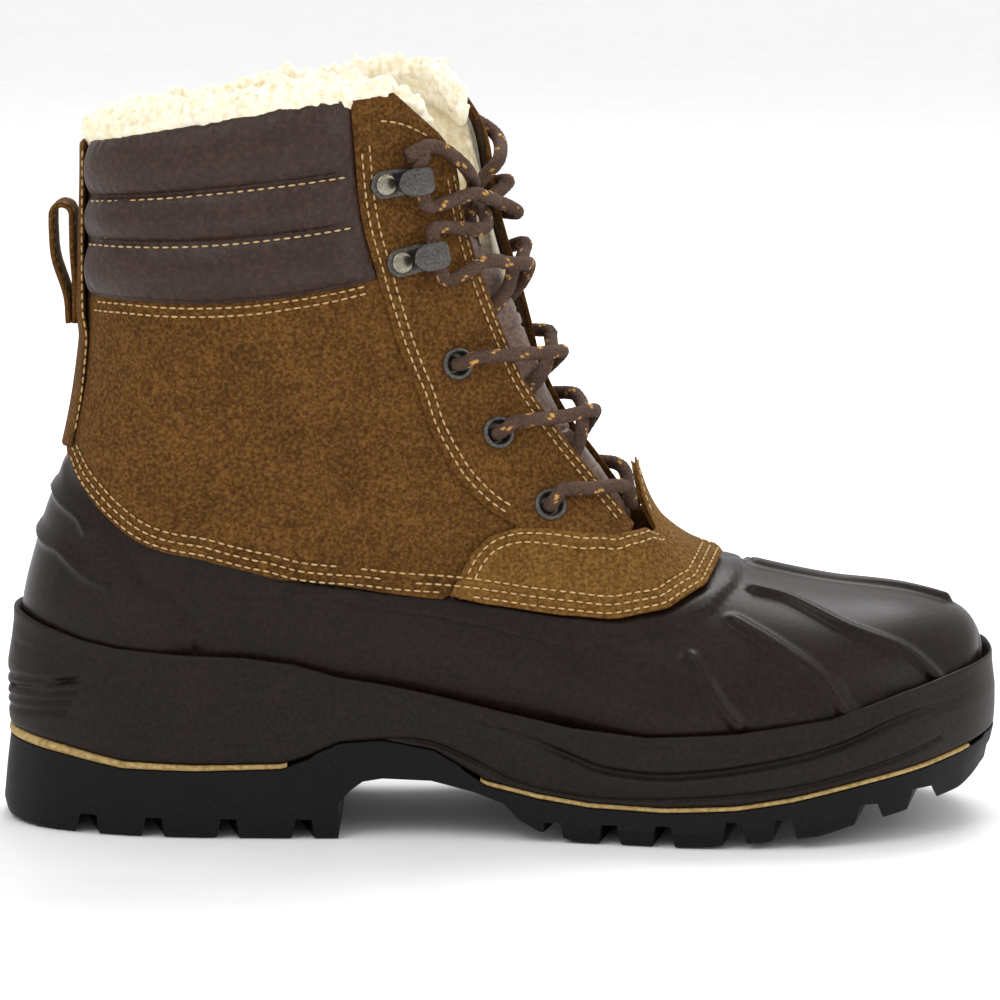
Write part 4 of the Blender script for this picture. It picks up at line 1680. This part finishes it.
# ---------------------------------------------------------------- studio
@dataclass
class Studio:
    """The camera, the pale floor and the soft lights."""

    elevation: float = 9.0
    distance: float = 1.5
    target: tuple[float, float, float] = (0.0, 0.0, 0.0985)
    lens: float = 173.3

    def place_camera(self) -> None:
        """Set the camera at the viewing angle."""
        bpy.ops.object.select_all(action="DESELECT")
        tilt = math.radians(self.elevation)
        x, y, z = self.target
        place = (x, y - self.distance * math.cos(tilt), z + self.distance * math.sin(tilt))
        bpy.ops.object.camera_add(location=place, rotation=(math.pi / 2 - tilt, 0, 0))
        camera = bpy.context.active_object
        camera.name = "camera"
        camera.data.lens = self.lens
        camera.data.sensor_width = 36.0
        camera.data.clip_end = 20.0
        bpy.context.scene.camera = camera

    def place_light(self, name: str, location: tuple[float, float, float], size: float, power: float) -> None:
        """Add one soft light that faces the boot."""
        bpy.ops.object.select_all(action="DESELECT")
        aim = Vector((0, 0, 0.1)) - Vector(location)
        turn = aim.to_track_quat("-Z", "Y").to_euler()
        bpy.ops.object.light_add(type="AREA", location=location, rotation=turn)
        light = bpy.context.active_object
        light.name = name
        light.data.size = size
        light.data.energy = power

    def build(self) -> None:
        """Make the floor, the world and the lights."""
        bpy.ops.object.select_all(action="DESELECT")
        bpy.ops.mesh.primitive_plane_add(size=12, location=(0, 0, -0.0002))
        floor = bpy.context.active_object
        floor.name = "floor"
        floor.data.materials.append(Finish("pale_floor", Texture.BOARD, (250, 250, 250), (252, 252, 252),
                                           (254, 254, 254), 0.8, 30, 0.01).material())
        world = bpy.data.worlds.new("studio")
        world.use_nodes = True
        world.node_tree.nodes["Background"].inputs["Color"].default_value = (1, 1, 1, 1)
        world.node_tree.nodes["Background"].inputs["Strength"].default_value = 0.95
        bpy.context.scene.world = world
        self.place_light("key", (-0.7, -1.2, 1.6), 0.8, 6.5)
        self.place_light("fill", (1.5, -0.8, 0.9), 0.9, 4)
        self.place_light("back", (0.3, 1.0, 1.7), 1.0, 22)
        bpy.context.scene.view_settings.view_transform = "Standard"


@dataclass
class HiddenParts:
    """The parts inside the boot that keep their own shape and take a finish."""

    finishes: dict[str, Finish] = field(default_factory=lambda: {
        "heel_counter": BOARD, "insole_board": BOARD, "facing_backing_lateral": BACKING,
        "facing_backing_medial": BACKING, "shank": STEEL, "heel_cushion": FOAM})

    def build(self) -> None:
        """Give each kept part its finish."""
        for node, finish in self.finishes.items():
            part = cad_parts[node]
            if not part.data.materials:
                part.data.materials.append(finish.material())
            for slot in part.material_slots:
                slot.material = finish.material()


def main() -> None:
    """Build the whole boot in its studio."""
    logging.basicConfig(level=logging.INFO, format="%(name)s: %(message)s")
    studio = Studio()
    studio.place_camera()
    for assembly in (Lacing(), SoleUnit(), RubberShell(), Upper(), Collar(), Tongue(), Lining(), Hardware(),
                     HiddenParts()):
        log.info("building %s", type(assembly).__name__)
        assembly.build()
    studio.build()


if __name__ == "__main__":
    main()
